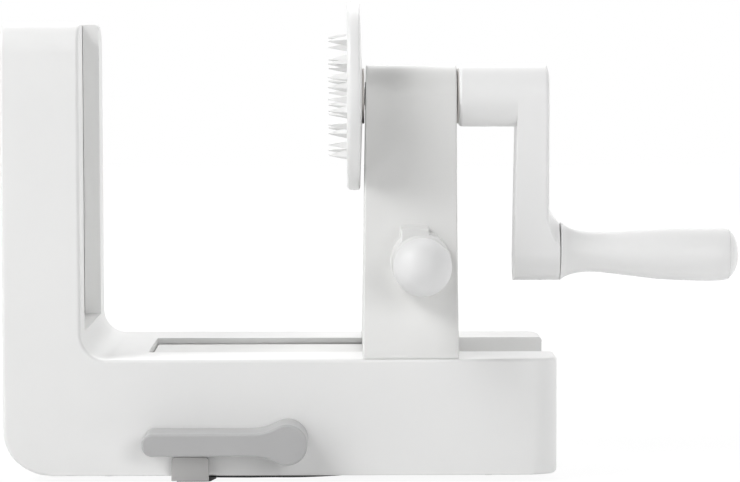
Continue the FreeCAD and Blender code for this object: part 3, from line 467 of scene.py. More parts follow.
WHITE = (0.878, 0.878, 0.872)
WHITE_SHADE = (0.865, 0.866, 0.861)
STEEL = (0.56, 0.57, 0.58)
FINISHES = {
    "shell": moulded("satin_white_shell", WHITE, WHITE_SHADE, 0.40, specular=0.35),
    # The tower's white is the shell's satin white painted darker: painted shade for the shade that falls on
    # the tower.
    "tower": moulded("satin_white_tower", (0.795, 0.795, 0.785), (0.775, 0.775, 0.765), 0.40, specular=0.35),
    # The crank's and the handle's white is the shell's white painted lighter: painted light.
    "crank": moulded("satin_white_crank", (0.90, 0.90, 0.898), (0.885, 0.886, 0.883), 0.40, specular=0.25),
    "grip": moulded("smooth_white_grip", (0.915, 0.915, 0.912), (0.90, 0.901, 0.897), 0.40,
                    grain=3400.0, depth=0.004 * MM, specular=0.25),
    "knob": moulded("gloss_white_knob", (0.80, 0.80, 0.80), (0.78, 0.78, 0.78), 0.46,
                    grain=3400.0, depth=0.002 * MM, specular=0.4, sheen=0.5),
    "holder": moulded("clean_white_holder", (0.875, 0.875, 0.87), (0.85, 0.85, 0.846), 0.36),
    "plate": moulded("satin_white_plate", (0.86, 0.86, 0.853), (0.84, 0.84, 0.833), 0.44),
    "inner": moulded("plain_white_inner", (0.80, 0.80, 0.785), (0.77, 0.77, 0.757), 0.5,
                     grain=1800.0, depth=0.010 * MM),
    "lever": moulded("fine_grey_lever", (0.462, 0.462, 0.464), (0.443, 0.443, 0.446), 0.40,
                     grain=2200.0, depth=0.010 * MM, sheen=0.2),
    # The tab's grey is painted lighter than the lever's: painted light against the shade the lever casts on
    # it.
    "tab": moulded("fine_grey_tab", (0.58, 0.574, 0.567), (0.56, 0.555, 0.549), 0.5,
                   grain=2200.0, depth=0.010 * MM),
    # The rings' grey is painted lighter than their own colour: painted light in the shaded gaps where they
    # sit.
    "ring": moulded("warm_grey_ring", (0.70, 0.67, 0.64), (0.66, 0.63, 0.60), 0.42,
                    grain=2000.0, depth=0.008 * MM),
    "bush": moulded("grey_bearing", (0.16, 0.16, 0.162), (0.14, 0.14, 0.142), 0.42,
                    grain=2000.0, depth=0.008 * MM),
    "cup": moulded("black_cup_rubber", (0.018, 0.018, 0.018), (0.028, 0.028, 0.029), 0.5,
                   grain=1500.0, depth=0.012 * MM),
    "foot": moulded("grey_foot_rubber", (0.07, 0.07, 0.072), (0.09, 0.09, 0.092), 0.6,
                    grain=1500.0, depth=0.020 * MM),
    "shaft": ground("turned_steel", STEEL, 0.26, (5200.0, 300.0, 300.0)),
    "upright_steel": ground("turned_pin_steel", STEEL, 0.28, (300.0, 300.0, 5200.0)),
    "cross_steel": ground("turned_axle_steel", STEEL, 0.26, (300.0, 5200.0, 300.0)),
    "blade": ground("ground_blade_steel", (0.62, 0.63, 0.64), 0.22, (400.0, 400.0, 6000.0)),
    "zinc": moulded("zinc_plated_screws", (0.52, 0.53, 0.55), (0.44, 0.45, 0.47), 0.32,
                    grain=1600.0, depth=0.006 * MM),
}
zinc_shader = FINISHES["zinc"].node_tree.nodes["Principled BSDF"]
zinc_shader.inputs["Metallic"].default_value = 1.0


# ---------------------------------------------------------------- patterns that repeat
class Pattern:
    """A geometry node tree under construction, with named sizes."""

    def __init__(self, name):
        self.tree = bpy.data.node_groups.new(name, "GeometryNodeTree")
        self.tree.interface.new_socket("Geometry", in_out="INPUT", socket_type="NodeSocketGeometry")
        self.tree.interface.new_socket("Geometry", in_out="OUTPUT", socket_type="NodeSocketGeometry")
        self.inlet = self.tree.nodes.new("NodeGroupInput")
        self.outlet = self.tree.nodes.new("NodeGroupOutput")

    def value(self, name, kind):
        """A named input of the tree."""
        self.tree.interface.new_socket(name, in_out="INPUT", socket_type="NodeSocket" + kind)
        return self.inlet.outputs[name]

    def add(self, kind, links=None, **settings):
        """A node with its settings, and with its sockets linked or set."""
        node = self.tree.nodes.new(kind)
        for key, setting in settings.items():
            setattr(node, key, setting)
        for socket, source in (links or {}).items():
            if isinstance(source, bpy.types.NodeSocket):
                self.tree.links.new(source, node.inputs[socket])
            else:
                node.inputs[socket].default_value = source
        return node

    def close(self, points, rotation):
        """Set the item on the points, make it real and give it its finish."""
        item = self.add("GeometryNodeObjectInfo", {"Object": self.value("Item", "Object")})
        spread = self.add("GeometryNodeInstanceOnPoints",
                          {"Points": points, "Instance": item.outputs["Geometry"], "Rotation": rotation})
        real = self.add("GeometryNodeRealizeInstances", {"Geometry": spread.outputs["Instances"]})
        material = self.value("Finish", "Material")
        finish = self.add("GeometryNodeSetMaterial",
                          {"Geometry": real.outputs["Geometry"], "Material": material})
        self.tree.links.new(finish.outputs["Geometry"], self.outlet.inputs["Geometry"])
        return self.tree


def ring_pattern():
    """Items on a ring round the Z axis, each turned with its own spoke."""
    plan = Pattern("items_on_a_ring")
    ring = plan.add("GeometryNodeMeshCircle",
                    {"Vertices": plan.value("Count", "Int"), "Radius": plan.value("Ring Radius", "Float")})
    place = plan.add("GeometryNodeInputPosition")
    spoke = plan.add("FunctionNodeAlignRotationToVector", {"Vector": place.outputs["Position"]}, axis="X")
    return plan.close(ring.outputs["Mesh"], spoke.outputs["Rotation"])


def row_pattern():
    """Items in a straight row."""
    plan = Pattern("items_in_a_row")
    row = plan.add("GeometryNodeMeshLine",
                   {"Count": plan.value("Count", "Int"), "Start Location": plan.value("Start", "Vector"),
                    "Offset": plan.value("Step", "Vector")}, mode="OFFSET")
    upright = plan.add("FunctionNodeEulerToRotation")
    return plan.close(row.outputs["Mesh"], upright.outputs["Rotation"])


def fastener_pattern():
    """Items on given places, their heads one way and each turned about itself at random."""
    plan = Pattern("fasteners_on_places")
    turn = plan.add("FunctionNodeRandomValue", {"Seed": plan.value("Seed", "Int")}, data_type="FLOAT")
    most = next(socket for socket in turn.inputs if socket.name == "Max" and socket.type == "VALUE")
    most.default_value = 2 * math.pi
    random_turn = next(socket for socket in turn.outputs if socket.type == "VALUE")
    about = plan.add("ShaderNodeCombineXYZ", {"Z": random_turn})
    spin = plan.add("FunctionNodeEulerToRotation", {"Euler": about.outputs["Vector"]})
    aim = plan.add("FunctionNodeAlignRotationToVector", {"Vector": plan.value("Head Direction", "Vector")},
                   axis="Z")
    both = plan.add("FunctionNodeRotateRotation",
                    {"Rotation": aim.outputs["Rotation"], "Rotate By": spin.outputs["Rotation"]},
                    rotation_space="LOCAL")
    return plan.close(plan.inlet.outputs["Geometry"], both.outputs["Rotation"])


RING = ring_pattern()
ROW = row_pattern()
FASTENERS = fastener_pattern()


def grown(name, tree, places=(), **inputs):
    """A plain mesh grown by a pattern from its named inputs."""
    mesh = bpy.data.meshes.new(name)
    mesh.from_pydata([tuple(place) for place in places], [], [])
    obj = linked(name, mesh)
    step = obj.modifiers.new("pattern", "NODES")
    step.node_group = tree
    for socket in tree.interface.items_tree:
        key = socket.name.replace(" ", "_").lower()
        if socket.in_out == "INPUT" and key in inputs:
            step[socket.identifier] = inputs[key]
    return settled(obj)


def screw(length):
    """A threaded screw with a domed head and a cross recess; the head's seat is z = 0, its top +Z."""
    core = SCREW_CORE - THREAD_DEPTH
    profile = [(-length, 0), (-length, core * 0.6)]
    turns = int((length - THREAD_PITCH) / THREAD_PITCH)
    for i in range(turns):
        start = -length + THREAD_PITCH * (i + 0.6)
        profile += [(start, core), (start + THREAD_PITCH * 0.5, SCREW_CORE)]
    profile += [(-THREAD_PITCH * 0.3, core), (0, core), (0, SCREW_HEAD)]
    profile += [(SCREW_HEAD_DEPTH * 0.4, SCREW_HEAD), (SCREW_HEAD_DEPTH * 0.8, SCREW_HEAD * 0.85),
                (SCREW_HEAD_DEPTH, SCREW_HEAD * 0.5), (SCREW_HEAD_DEPTH, 0)]
    body = moved(lathe("screw", profile, steps=SCREW_STEPS), along_z(0, 0))
    wide = SCREW_HEAD * 0.62
    thin = SCREW_HEAD * 0.13
    bottom = -SCREW_HEAD_DEPTH * 0.75
    top = SCREW_HEAD_DEPTH + FINE_EDGE
    bar = [(-wide, 0), (wide, 0), (wide * 0.55, bottom), (-wide * 0.55, bottom)]
    for turn in (0, 90):
        place = Matrix.Rotation(math.radians(turn), 4, "Z") @ Matrix.Translation((0, -thin, top))
        cut(body, extruded("slot", bar, 2 * thin, place))
    return body


def rivet(length):
    """A low domed rivet; the head's seat is z = 0."""
    profile = [(-length, 0), (-length, RIVET_HEAD / 2), (0, RIVET_HEAD / 2), (0, RIVET_HEAD * 0.95),
               (RIVET_DOME * 0.35, RIVET_HEAD), (RIVET_DOME * 0.75, RIVET_HEAD * 0.78),
               (RIVET_DOME, RIVET_HEAD * 0.4), (RIVET_DOME, 0)]
    return moved(lathe("rivet", profile, steps=SCREW_STEPS), along_z(0, 0))


def fasteners(name, item, places, head_direction, seed):
    """One mesh of equal fasteners on their places."""
    obj = grown(name, FASTENERS, places, item=item, head_direction=head_direction, seed=seed,
                finish=FINISHES["zinc"])
    bpy.data.objects.remove(item)
    return obj


# ---------------------------------------------------------------- pieces
def fit(obj, finish, body, slot, *nodes):
    """Finish a piece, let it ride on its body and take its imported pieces' place."""
    obj.data.materials.clear()
    obj.data.materials.append(FINISHES[finish])
    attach(obj, body)
    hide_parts(*nodes)
    return obj


def base_pieces():
    """The housing, its cover, feet, rail and screws."""
    housing = softened("housing", "body_shell", EDGE, 3, eased=eased_housing)
    fit(housing, "shell", "base", "white_housing", "body_shell")
    fit(softened("cover_plate", "bottom_cover", EDGE), "inner", "base", "white_inner", "bottom_cover")
    fit(softened("slide_rail", "guide_rail", EDGE), "inner", "base", "white_inner", "guide_rail")
    fit(softened("pivot_bush", "lever_bush", FINE_EDGE), "bush", "base", "dark_bush", "lever_bush")
    first, last = low("cover_screws"), high("cover_screws")
    seat = first.z + SCREW_HEAD_DEPTH
    corners = [(x, y, seat) for x in (first.x + SCREW_HEAD, last.x - SCREW_HEAD)
               for y in (first.y + SCREW_HEAD, last.y - SCREW_HEAD)]
    heads = fasteners("cover_screw_set", screw(last.z - seat), corners, (0, 0, -1), 3)
    fit(heads, "zinc", "base", "fasteners", "cover_screws")
    first, last = low("rail_screws"), high("rail_screws")
    seat = first.z + SCREW_HEAD_DEPTH
    row = [(x, 0, seat) for x in (first.x + SCREW_HEAD, (first.x + last.x) / 2, last.x - SCREW_HEAD)]
    heads = fasteners("rail_screw_set", screw(last.z - seat), row, (0, 0, -1), 5)
    fit(heads, "zinc", "base", "fasteners", "rail_screws")
    feet()
    suction_cup()
    fit(softened("pull_tab", "release_tab", 0.5 * MM, 3), "tab", "base", "grey_lever", "release_tab")


def feet():
    """Four round rubber feet with a ringed tread."""
    first, last = low("rubber_feet"), high("rubber_feet")
    radius = 6.0 * MM
    height = last.z - first.z
    groove = 0.3 * MM
    tread = [(0, 0)]
    for ring in (0.18, 0.32, 0.46):
        tread += [(0, radius * (ring - 0.04)), (groove, radius * (ring - 0.02)),
                  (groove, radius * (ring + 0.02)), (0, radius * (ring + 0.04))]
    profile = tread + [(0, radius * 0.58), (0.2 * MM, radius * 0.7), (0.6 * MM, radius * 0.85),
                       (1.2 * MM, radius * 0.96), (height, radius), (height, 0)]
    foot = moved(lathe("foot", profile, steps=48), along_z(0, 0))
    corners = [(x, y, first.z) for x in (first.x + radius, last.x - radius)
               for y in (first.y + radius, last.y - radius)]
    obj = grown("feet_set", FASTENERS, corners, item=foot, head_direction=(0, 0, 1), seed=1,
                finish=FINISHES["foot"])
    bpy.data.objects.remove(foot)
    fit(obj, "foot", "base", "foot_rubber", "rubber_feet")


def suction_cup():
    """The rubber cup: a lifted lip, sealing ribs underneath, a hub on top and an ear to the tab."""
    rim = 51.0 * MM
    hub = 15.0 * MM
    hub_bore = 5.3 * MM
    room = 11.3 * MM              # radius of the lifter's room in the hub
    room_floor, room_top = 1.6 * MM, 3.6 * MM
    rib = 0.35 * MM
    top = high("suction_cup").z
    under = [(0, 0), (0, 30 * MM)]
    for radius in (33, 37, 41):
        under += [(0, radius * MM), (rib, (radius + 0.5) * MM), (rib, (radius + 1.5) * MM),
                  (0, (radius + 2) * MM)]
    lip = [(0, 44.5 * MM), (1.0 * MM, rim - 0.3 * MM), (1.3 * MM, rim), (1.7 * MM, rim),
           (2.0 * MM, rim - 0.8 * MM), (1.8 * MM, 40 * MM)]
    upper = [(3.0 * MM, hub + 4.4 * MM), (top - 0.4 * MM, hub + 0.4 * MM), (top, hub), (top, hub_bore),
             (room_top, hub_bore), (room_top, room), (room_floor, room), (room_floor, 0)]
    cup = moved(lathe("cup", under + lip + upper, steps=144), along_z(0, 0))
    for part in (cup_ear(), cup_web()):
        join = cup.modifiers.new(part.name, "BOOLEAN")
        join.operation = "UNION"
        join.solver = "EXACT"
        join.object = part
        settled(cup)
        bpy.data.objects.remove(part)
    cup.data.polygons.foreach_set("use_smooth", [True] * len(cup.data.polygons))
    cup.data.set_sharp_from_angle(angle=math.radians(SHARP))
    cup.data.materials.clear()
    cup.data.materials.append(FINISHES["cup"])
    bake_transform(cup)
    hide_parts("suction_cup")


def cup_ear():
    """The ear that runs out from the cup to the tab that lifts its edge."""
    start = low("release_tab").x + 2 * MM
    end = high("release_tab").x + 3 * MM
    step = high("release_tab").x + 0.5 * MM
    bottom, shoulder, top = 0.6 * MM, 1.9 * MM, 2.4 * MM
    points = [(start, bottom), (step, bottom), (end, shoulder), (end, top), (start, top)]
    return extruded("ear", points, 45 * MM, Matrix.Translation((0, low("suction_cup").y, 0)))


def cup_web():
    """The thin web between the ear and the cup's near edge."""
    start = high("release_tab").x
    middle_x, end = -16 * MM, -6 * MM
    bottom, middle_bottom, top = 1.05 * MM, 0.95 * MM, 1.9 * MM
    points = [(start, bottom), (middle_x, middle_bottom), (end, bottom), (end, top), (start, top)]
    return extruded("web", points, 12 * MM, Matrix.Translation((0, -51 * MM, 0)))


def cartridge_pieces():
    """The plate in the grooves with its blade, comb, coring tube and rivets."""
    fit(softened("blade_plate", "cartridge_frame", EDGE), "plate", "blade_cartridge", "white_housing",
        "cartridge_frame")
    fit(softened("blade", "slicing_blade", 0.06 * MM, 1), "blade", "blade_cartridge", "blade_steel",
        "slicing_blade")
    comb_piece()
    tube = low("coring_tube")
    length = high("coring_tube").x - tube.x
    bore, wall = 5.0 * MM, 0.8 * MM
    profile = [(tube.x, bore), (tube.x, bore + wall), (tube.x + length - 1.6 * MM, bore + wall),
               (tube.x + length, bore + 0.1 * MM), (tube.x + length, bore)]
    cutter = moved(lathe("core_cutter", profile, bored=True), on_axis("coring_tube"))
    fit(cutter, "blade", "blade_cartridge", "blade_steel", "coring_tube")
    first, last = low("blade_rivets"), high("blade_rivets")
    seat = last.x - RIVET_DOME
    blade_row = first.z + RIVET_HEAD
    comb_row = last.z - RIVET_HEAD
    comb_side = 10.0 * MM
    places = [(seat, -7.0 * MM, blade_row), (seat, 0.3 * MM, blade_row),
              (seat, comb_side, comb_row), (seat, comb_side, 115.2 * MM)]
    pins = fasteners("rivet_set", rivet(seat - first.x), places, (1, 0, 0), 7)
    fit(pins, "zinc", "blade_cartridge", "fasteners", "blade_rivets")


def comb_piece():
    """The comb: a strip with a row of upright pointed teeth."""
    first, last = low("shredding_comb"), high("shredding_comb")
    thick = 0.5 * MM
    row = first.y
    wide = last.y - first.y
    strip = extruded("comb", [(first.x, first.z), (first.x + thick, first.z), (first.x + thick, last.z),
                              (first.x, last.z)], wide, Matrix.Translation((0, row, 0)))
    reach = last.x - first.x
    blank = extruded("comb_tooth", [(0, 0), (reach, wide * 0.4), (reach, wide * 0.7), (0, wide)], thick,
                     Matrix.Rotation(math.radians(-90), 4, "X"))
    moved(blank, Matrix.Translation((0, 0, thick)))
    top = last.z - 4.0 * MM - COMB_PITCH / 2
    teeth = grown("comb_teeth", ROW, item=blank, count=COMB_TEETH, start=(first.x, row, top),
                  step=(0, 0, -COMB_PITCH), finish=FINISHES["blade"])
    bpy.data.objects.remove(blank)
    fit(rounded(strip, 0.08 * MM, 1), "blade", "blade_cartridge", "blade_steel", "shredding_comb")
    fit(teeth, "blade", "blade_cartridge", "blade_steel", "shredding_comb")


def carriage_pieces():
    """The tower with its slide, bushes and knob."""
    tower = lowered(softened("tower", "tower_shell", EDGE, 3), low("tower_shell").z, FOOT_DROP)
    fit(tower, "tower", "carriage", "white_housing", "tower_shell")
    fit(softened("slide_foot", "carriage_slide", EDGE), "inner", "carriage", "white_inner",
        "carriage_slide")
    fit(softened("bush_front", "front_bush", FINE_EDGE), "bush", "carriage", "dark_bush", "front_bush")
    fit(softened("bush_rear", "rear_bush", FINE_EDGE), "bush", "carriage", "dark_bush", "rear_bush")
    first, last = low("slide_screws"), high("slide_screws")
    seat = first.z + SCREW_HEAD_DEPTH
    row = [(middle("slide_screws").x, y, seat) for y in (first.y + SCREW_HEAD, last.y - SCREW_HEAD)]
    heads = fasteners("slide_screw_set", screw(last.z - seat), row, (0, 0, -1), 11)
    fit(heads, "zinc", "carriage", "fasteners", "slide_screws")
    fit(softened("knob_base", "knob_plate", 0.7 * MM, 4), "tower", "carriage", "white_housing",
        "knob_plate")
    ball_knob()
    first, last = low("knob_screw"), high("knob_screw")
    seat = last.y - SCREW_HEAD_DEPTH
    bolt = fasteners("knob_bolt", screw(seat - first.y), [(KNOB_AXIS, seat, KNOB_Z)], (0, 1, 0), 13)
    fit(bolt, "zinc", "carriage", "fasteners", "knob_screw")


def ball_knob():
    """The ball, turned in one with its neck."""
    first, last = low("knob"), high("knob")
    radius = (last.z - first.z) / 2
    centre = -first.y - radius
    foot = -last.y
    reach = math.sqrt(radius ** 2 - KNOB_NECK ** 2)
    start = math.atan2(KNOB_NECK, -reach)
    profile = [(foot, 0), (foot, KNOB_NECK)]
    steps = 40
    for i in range(steps):
        turn = start * (1 - i / steps)
        profile.append((centre + radius * math.cos(turn), radius * math.sin(turn)))
    profile.append((centre + radius, 0))
    ball = moved(lathe("ball_knob", profile), along_y(KNOB_AXIS, KNOB_Z))
    fit(ball, "knob", "carriage", "white_housing", "knob")


def crank_pieces():
    """The shaft with the food holder at one end and the crank at the other."""
    fit(softened("spindle", "crank_shaft", FINE_EDGE), "shaft", "crank", "steel", "crank_shaft")
    holder_disc()
    seat = low("holder_screw").x + SCREW_HEAD_DEPTH
    bolt = fasteners("holder_bolt", screw(high("holder_screw").x - seat), [(seat, 0, SHAFT_Z)],
                     (-1, 0, 0), 17)
    fit(bolt, "zinc", "crank", "fasteners", "holder_screw")
    fit(softened("collar_ring", "shaft_collar", FINE_EDGE), "ring", "crank", "dark_bush", "shaft_collar")
    fit(softened("washer_ring", "hub_washer", 0.15 * MM), "ring", "crank", "dark_bush", "hub_washer")
    arm = softened("arm", "crank_arm", 0.6 * MM, 3, eased=eased_arm)
    fit(arm, "crank", "crank", "white_housing", "crank_arm")
    seat = high("hub_screw").x - SCREW_HEAD_DEPTH
    bolt = fasteners("arm_bolt", screw(seat - low("hub_screw").x), [(seat, 0, SHAFT_Z)], (1, 0, 0), 19)
    fit(bolt, "zinc", "crank", "fasteners", "hub_screw")
    fit(softened("arm_plug", "hub_plug", FINE_EDGE), "crank", "crank", "white_housing", "hub_plug")
    fit(softened("handle_axle", "grip_axle", FINE_EDGE), "shaft", "crank", "steel", "grip_axle")
    fit(softened("handle_clip", "grip_retainer", FINE_EDGE), "zinc", "crank", "fasteners", "grip_retainer")


def tooth():
    """A four-sided tooth that tapers to a small rounded end; its root is below z = 0."""
    work = bmesh.new()
    corners = ((1, 1), (-1, 1), (-1, -1), (1, -1))
    taper = ((-TOOTH_ROOT, TOOTH_BASE * 1.05), (0, TOOTH_BASE), (TOOTH_LENGTH * 0.5, TOOTH_BASE * 0.62),
             (TOOTH_LENGTH * 0.96, TOOTH_TIP), (TOOTH_LENGTH, TOOTH_TIP * 0.5))
    levels = []
    for z, half in taper:
        levels.append([work.verts.new((x * half, y * half, z)) for x, y in corners])
    for lower, upper in zip(levels, levels[1:]):
        for i in range(4):
            j = (i + 1) % 4
            work.faces.new([lower[i], lower[j], upper[j], upper[i]])
    work.faces.new(levels[0][::-1])
    work.faces.new(levels[-1])
    return rounded(from_work("tooth", work, smooth=180), 0.22 * MM, 2, 25)


def holder_disc():
    """The disc with its rounded rim, and the rings of teeth on its face."""
    first, last = low("food_holder"), high("food_holder")
    face = first.x + TOOTH_LENGTH
    radius = (last.z - first.z) / 2
    back = face + DISC_RIM
    profile = outline([(face, 0, 0), (face, radius, DISC_FRONT_ROUND), (back, radius, DISC_BACK_ROUND),
                       (back, radius - 2 * DISC_BACK_ROUND, 0.3 * MM), (last.x, DISC_BOSS, 0),
                       (last.x, DISC_BORE, 0), (last.x - DISC_BORE_DEPTH, DISC_BORE, 0),
                       (last.x - DISC_BORE_DEPTH, 0, 0)])
    disc = moved(lathe("holder_disc", profile, steps=160), on_axis("crank_shaft"))
    floor = face + SCREW_HEAD_DEPTH
    room = [(face - MM, 0), (face - MM, SCREW_HEAD), (floor, SCREW_HEAD), (floor, 0)]
    cut(disc, moved(lathe("screw_room", room, steps=48), on_axis("crank_shaft")))
    fit(disc, "holder", "crank", "white_housing", "food_holder")
    item = tooth()
    for number, (ring, count, first_turn) in enumerate(TOOTH_RINGS):
        teeth = grown("holder_teeth_%d" % (number + 1), RING, item=item, count=count, ring_radius=ring,
                      finish=FINISHES["holder"])
        up = Matrix.Rotation(math.radians(-90), 4, "Y") @ Matrix.Rotation(math.radians(first_turn), 4, "Z")
        moved(teeth, Matrix.Translation((face, 0, SHAFT_Z)) @ up)
        fit(teeth, "holder", "crank", "white_housing", "food_holder")
    bpy.data.objects.remove(item)


def handle_pieces():
    """The waisted handle and its rounded end cap."""
    start = GRIP_GAP
    end = GRIP_STAND + GRIP_LENGTH
    seam = end - GRIP_CAP
    lip = 0.3 * MM
    groove = 0.15 * MM
    stations = [(start + lip, GRIP_FLANGE)]
    stations += [(end - GRIP_LENGTH * (1 - share), radius * MM) for share, radius in GRIP_STATIONS]
    stations.append((seam, GRIP_SEAM))
    outside = smooth_run(stations, 12)
    outside = outside[:-1] + [(seam - groove, GRIP_SEAM), (seam, GRIP_SEAM - groove)]
    room, depth = GRIP_POCKET
    pocket = seam - depth
    profile = [(start, GRIP_BORE), (start, GRIP_FLANGE - lip)] + outside
    profile += [(seam, room), (pocket, room), (pocket, GRIP_BORE)]
    handle = moved(lathe("handle", profile, bored=True), drooped())
    fit(handle, "grip", "handle", "white_housing", "grip")
    dome = GRIP_SEAM / math.sqrt(1 - (1 - GRIP_CAP / GRIP_DOME) ** 2)
    first_turn = math.asin(1 - GRIP_CAP / GRIP_DOME)
    profile = [(seam, 0), (seam, GRIP_SEAM - 2 * groove)]
    steps = 20
    for i in range(steps):
        turn = first_turn + (math.pi / 2 - first_turn) * i / steps
        reach = end - GRIP_DOME + GRIP_DOME * math.sin(turn)
        if i == 0:
            reach += groove
        profile.append((reach, dome * math.cos(turn)))
    profile.append((end, 0))
    cap = moved(lathe("handle_cap", profile), drooped())
    fit(cap, "grip", "handle", "white_housing", "grip_end_cap")


def lever_pieces():
    """The lock lever with its shaft, pin and cam, and the yoke that they lift."""
    fit(softened("lock_lever", "lever", 1.0 * MM, 4), "lever", "suction_lever", "grey_lever", "lever")
    fit(softened("lever_axle", "cam_shaft", FINE_EDGE), "cross_steel", "suction_lever", "steel", "cam_shaft")
    fit(softened("lever_cross_pin", "lever_pin", 0.1 * MM), "upright_steel", "suction_lever", "fasteners",
        "lever_pin")
    fit(softened("lift_cam", "suction_cam", FINE_EDGE), "inner", "suction_lever", "white_inner",
        "suction_cam")
    fit(softened("yoke", "lift_yoke", EDGE), "inner", "cup_puller", "white_inner", "lift_yoke")
    fit(softened("press_plate", "pressure_plate", FINE_EDGE), "upright_steel", "cup_puller", "steel",
        "pressure_plate")


# ---------------------------------------------------------------- floor, light and camera
FLOOR_WHITE = (0.86, 0.86, 0.86)
FLOOR_NEAR = (0.25, 0.93)     # distance from the middle, and how much of the white is its own there
FLOOR_FAR = (0.9, 1.0)
FLOOR_SHADE = 0.10            # how much of its shadow shows
FLOOR_HALF = 3.0              # half the floor's width
AMBIENT = 0.0                 # the lamps alone light the object


def seen_directly(tree):
    """1 for what the camera sees directly, in a reflection or through glass."""
    path = tree.nodes.new("ShaderNodeLightPath")
    first = tree.nodes.new("ShaderNodeMath")
    first.operation = "MAXIMUM"
    tree.links.new(path.outputs["Is Camera Ray"], first.inputs[0])
    tree.links.new(path.outputs["Is Glossy Ray"], first.inputs[1])
    second = tree.nodes.new("ShaderNodeMath")
    second.operation = "MAXIMUM"
    tree.links.new(first.outputs[0], second.inputs[0])
    tree.links.new(path.outputs["Is Transmission Ray"], second.inputs[1])
    return second.outputs[0]


def white_floor():
    """A wide floor that looks white and keeps the object's shadow."""
    half = FLOOR_HALF
    corners = [(-half, -half, 0), (half, -half, 0), (half, half, 0), (-half, half, 0)]
    mesh = bpy.data.meshes.new("floor")
    mesh.from_pydata(corners, [], [(0, 1, 2, 3)])
    floor = linked("floor", mesh)
    material = bpy.data.materials.new("white_floor")
    material.use_nodes = True
    tree = material.node_tree
    tree.nodes.clear()
    matt = tree.nodes.new("ShaderNodeBsdfDiffuse")
    matt.inputs["Color"].default_value = (*FLOOR_WHITE, 1)
    shadow = tree.nodes.new("ShaderNodeBsdfDiffuse")
    shadow.inputs["Color"].default_value = (FLOOR_SHADE, FLOOR_SHADE, FLOOR_SHADE, 1)
    place = tree.nodes.new("ShaderNodeTexCoord")
    distance = tree.nodes.new("ShaderNodeVectorMath")
    distance.operation = "LENGTH"
    tree.links.new(place.outputs["Object"], distance.inputs[0])
    whiter = tree.nodes.new("ShaderNodeMapRange")
    whiter.inputs["From Min"].default_value, whiter.inputs["To Min"].default_value = FLOOR_NEAR
    whiter.inputs["From Max"].default_value, whiter.inputs["To Max"].default_value = FLOOR_FAR
    tree.links.new(distance.outputs["Value"], whiter.inputs["Value"])
    glow = tree.nodes.new("ShaderNodeEmission")
    tree.links.new(whiter.outputs["Result"], glow.inputs["Strength"])
    both = tree.nodes.new("ShaderNodeAddShader")
    tree.links.new(shadow.outputs[0], both.inputs[0])
    tree.links.new(glow.outputs[0], both.inputs[1])
    mix = tree.nodes.new("ShaderNodeMixShader")
    tree.links.new(seen_directly(tree), mix.inputs["Fac"])
    tree.links.new(matt.outputs[0], mix.inputs[1])
    tree.links.new(both.outputs[0], mix.inputs[2])
    out = tree.nodes.new("ShaderNodeOutputMaterial")
    tree.links.new(mix.outputs[0], out.inputs["Surface"])
    floor.data.materials.append(material)


def white_room():
    """A world that looks white and gives no light of its own."""
    world = bpy.data.worlds.new("studio")
    world.use_nodes = True
    bpy.context.scene.world = world
    tree = world.node_tree
    tree.nodes.clear()
    soft = tree.nodes.new("ShaderNodeBackground")
    soft.inputs["Color"].default_value = (1, 1, 1, 1)
    soft.inputs["Strength"].default_value = AMBIENT
    white = tree.nodes.new("ShaderNodeBackground")
    white.inputs["Color"].default_value = (1, 1, 1, 1)
    mix = tree.nodes.new("ShaderNodeMixShader")
    tree.links.new(seen_directly(tree), mix.inputs["Fac"])
    tree.links.new(soft.outputs[0], mix.inputs[1])
    tree.links.new(white.outputs[0], mix.inputs[2])
    out = tree.nodes.new("ShaderNodeOutputWorld")
    tree.links.new(mix.outputs[0], out.inputs["Surface"])


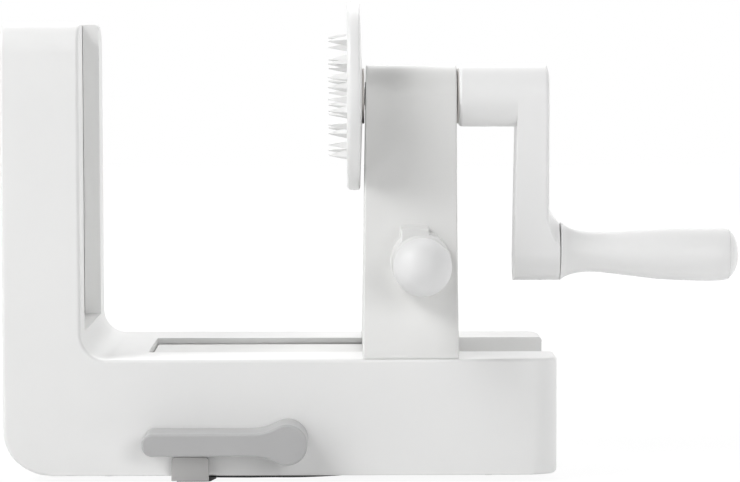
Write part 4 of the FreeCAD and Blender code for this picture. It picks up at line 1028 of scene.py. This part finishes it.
AIM = Vector((0, 0, 0.09))
LAMPS = (
    # name, direction left of the front and above the floor in degrees, distance, size, watts
    ("key", 60, 50, 1.4, 0.5, 7.7),
    ("left_side", 75, 40, 1.4, 0.5, 4.0),
    ("left_front", 45, 10, 1.5, 1.0, 5.8),
    ("right_front", -20, 12, 1.4, 0.5, 4.4),
    ("right_side", -90, 10, 1.5, 1.0, 7.1),
    ("right_back", -135, 10, 1.5, 1.0, 3.0),
    ("right_back_high", -135, 45, 1.5, 1.0, 2.5),
    ("back", 180, 35, 1.5, 1.0, 7.1),
    ("back_high", 180, 65, 1.5, 1.0, 3.9),
)


def lamps():
    """Soft square lamps, each aimed at the middle of the object."""
    for name, left, above, distance, size, watts in LAMPS:
        turn, rise = math.radians(left), math.radians(above)
        level = math.cos(rise)
        direction = Vector((-math.sin(turn) * level, -math.cos(turn) * level, math.sin(rise)))
        data = bpy.data.lights.new(name, "AREA")
        data.shape = "SQUARE"
        data.size = size
        data.energy = watts
        lamp = linked(name, data)
        lamp.location = AIM + direction * distance
        lamp.rotation_euler = direction.to_track_quat("Z", "Y").to_euler()


CAMERA_PLACE = Vector((25.929, -1235.268, 180.982)) * MM
CAMERA_DOWN = 3.947           # degrees below level
CAMERA_RIGHT = 0.395          # degrees to the right of straight ahead
CAMERA_ROLL = 0.111
CAMERA_LENS = 139.91


def camera():
    """The camera, a little below the top of the upright and nearly square on to the near side."""
    down, aside, roll = (math.radians(angle) for angle in (CAMERA_DOWN, CAMERA_RIGHT, CAMERA_ROLL))
    ahead = Vector((math.sin(aside) * math.cos(down), math.cos(aside) * math.cos(down), -math.sin(down)))
    level = Vector((math.cos(aside), -math.sin(aside), 0))
    upward = level.cross(ahead)
    right = level * math.cos(roll) - upward * math.sin(roll)
    up = level * math.sin(roll) + upward * math.cos(roll)
    data = bpy.data.cameras.new("camera")
    data.lens = CAMERA_LENS
    data.sensor_width = 36.0
    data.clip_end = 20.0
    viewer = linked("camera", data)
    turn = Matrix((right, up, -ahead)).transposed().to_4x4()
    viewer.matrix_world = Matrix.Translation(CAMERA_PLACE) @ turn
    bpy.context.scene.camera = viewer


base_pieces()
cartridge_pieces()
carriage_pieces()
crank_pieces()
handle_pieces()
lever_pieces()
white_floor()
white_room()
lamps()
camera()
bpy.context.scene.view_settings.view_transform = "Standard"
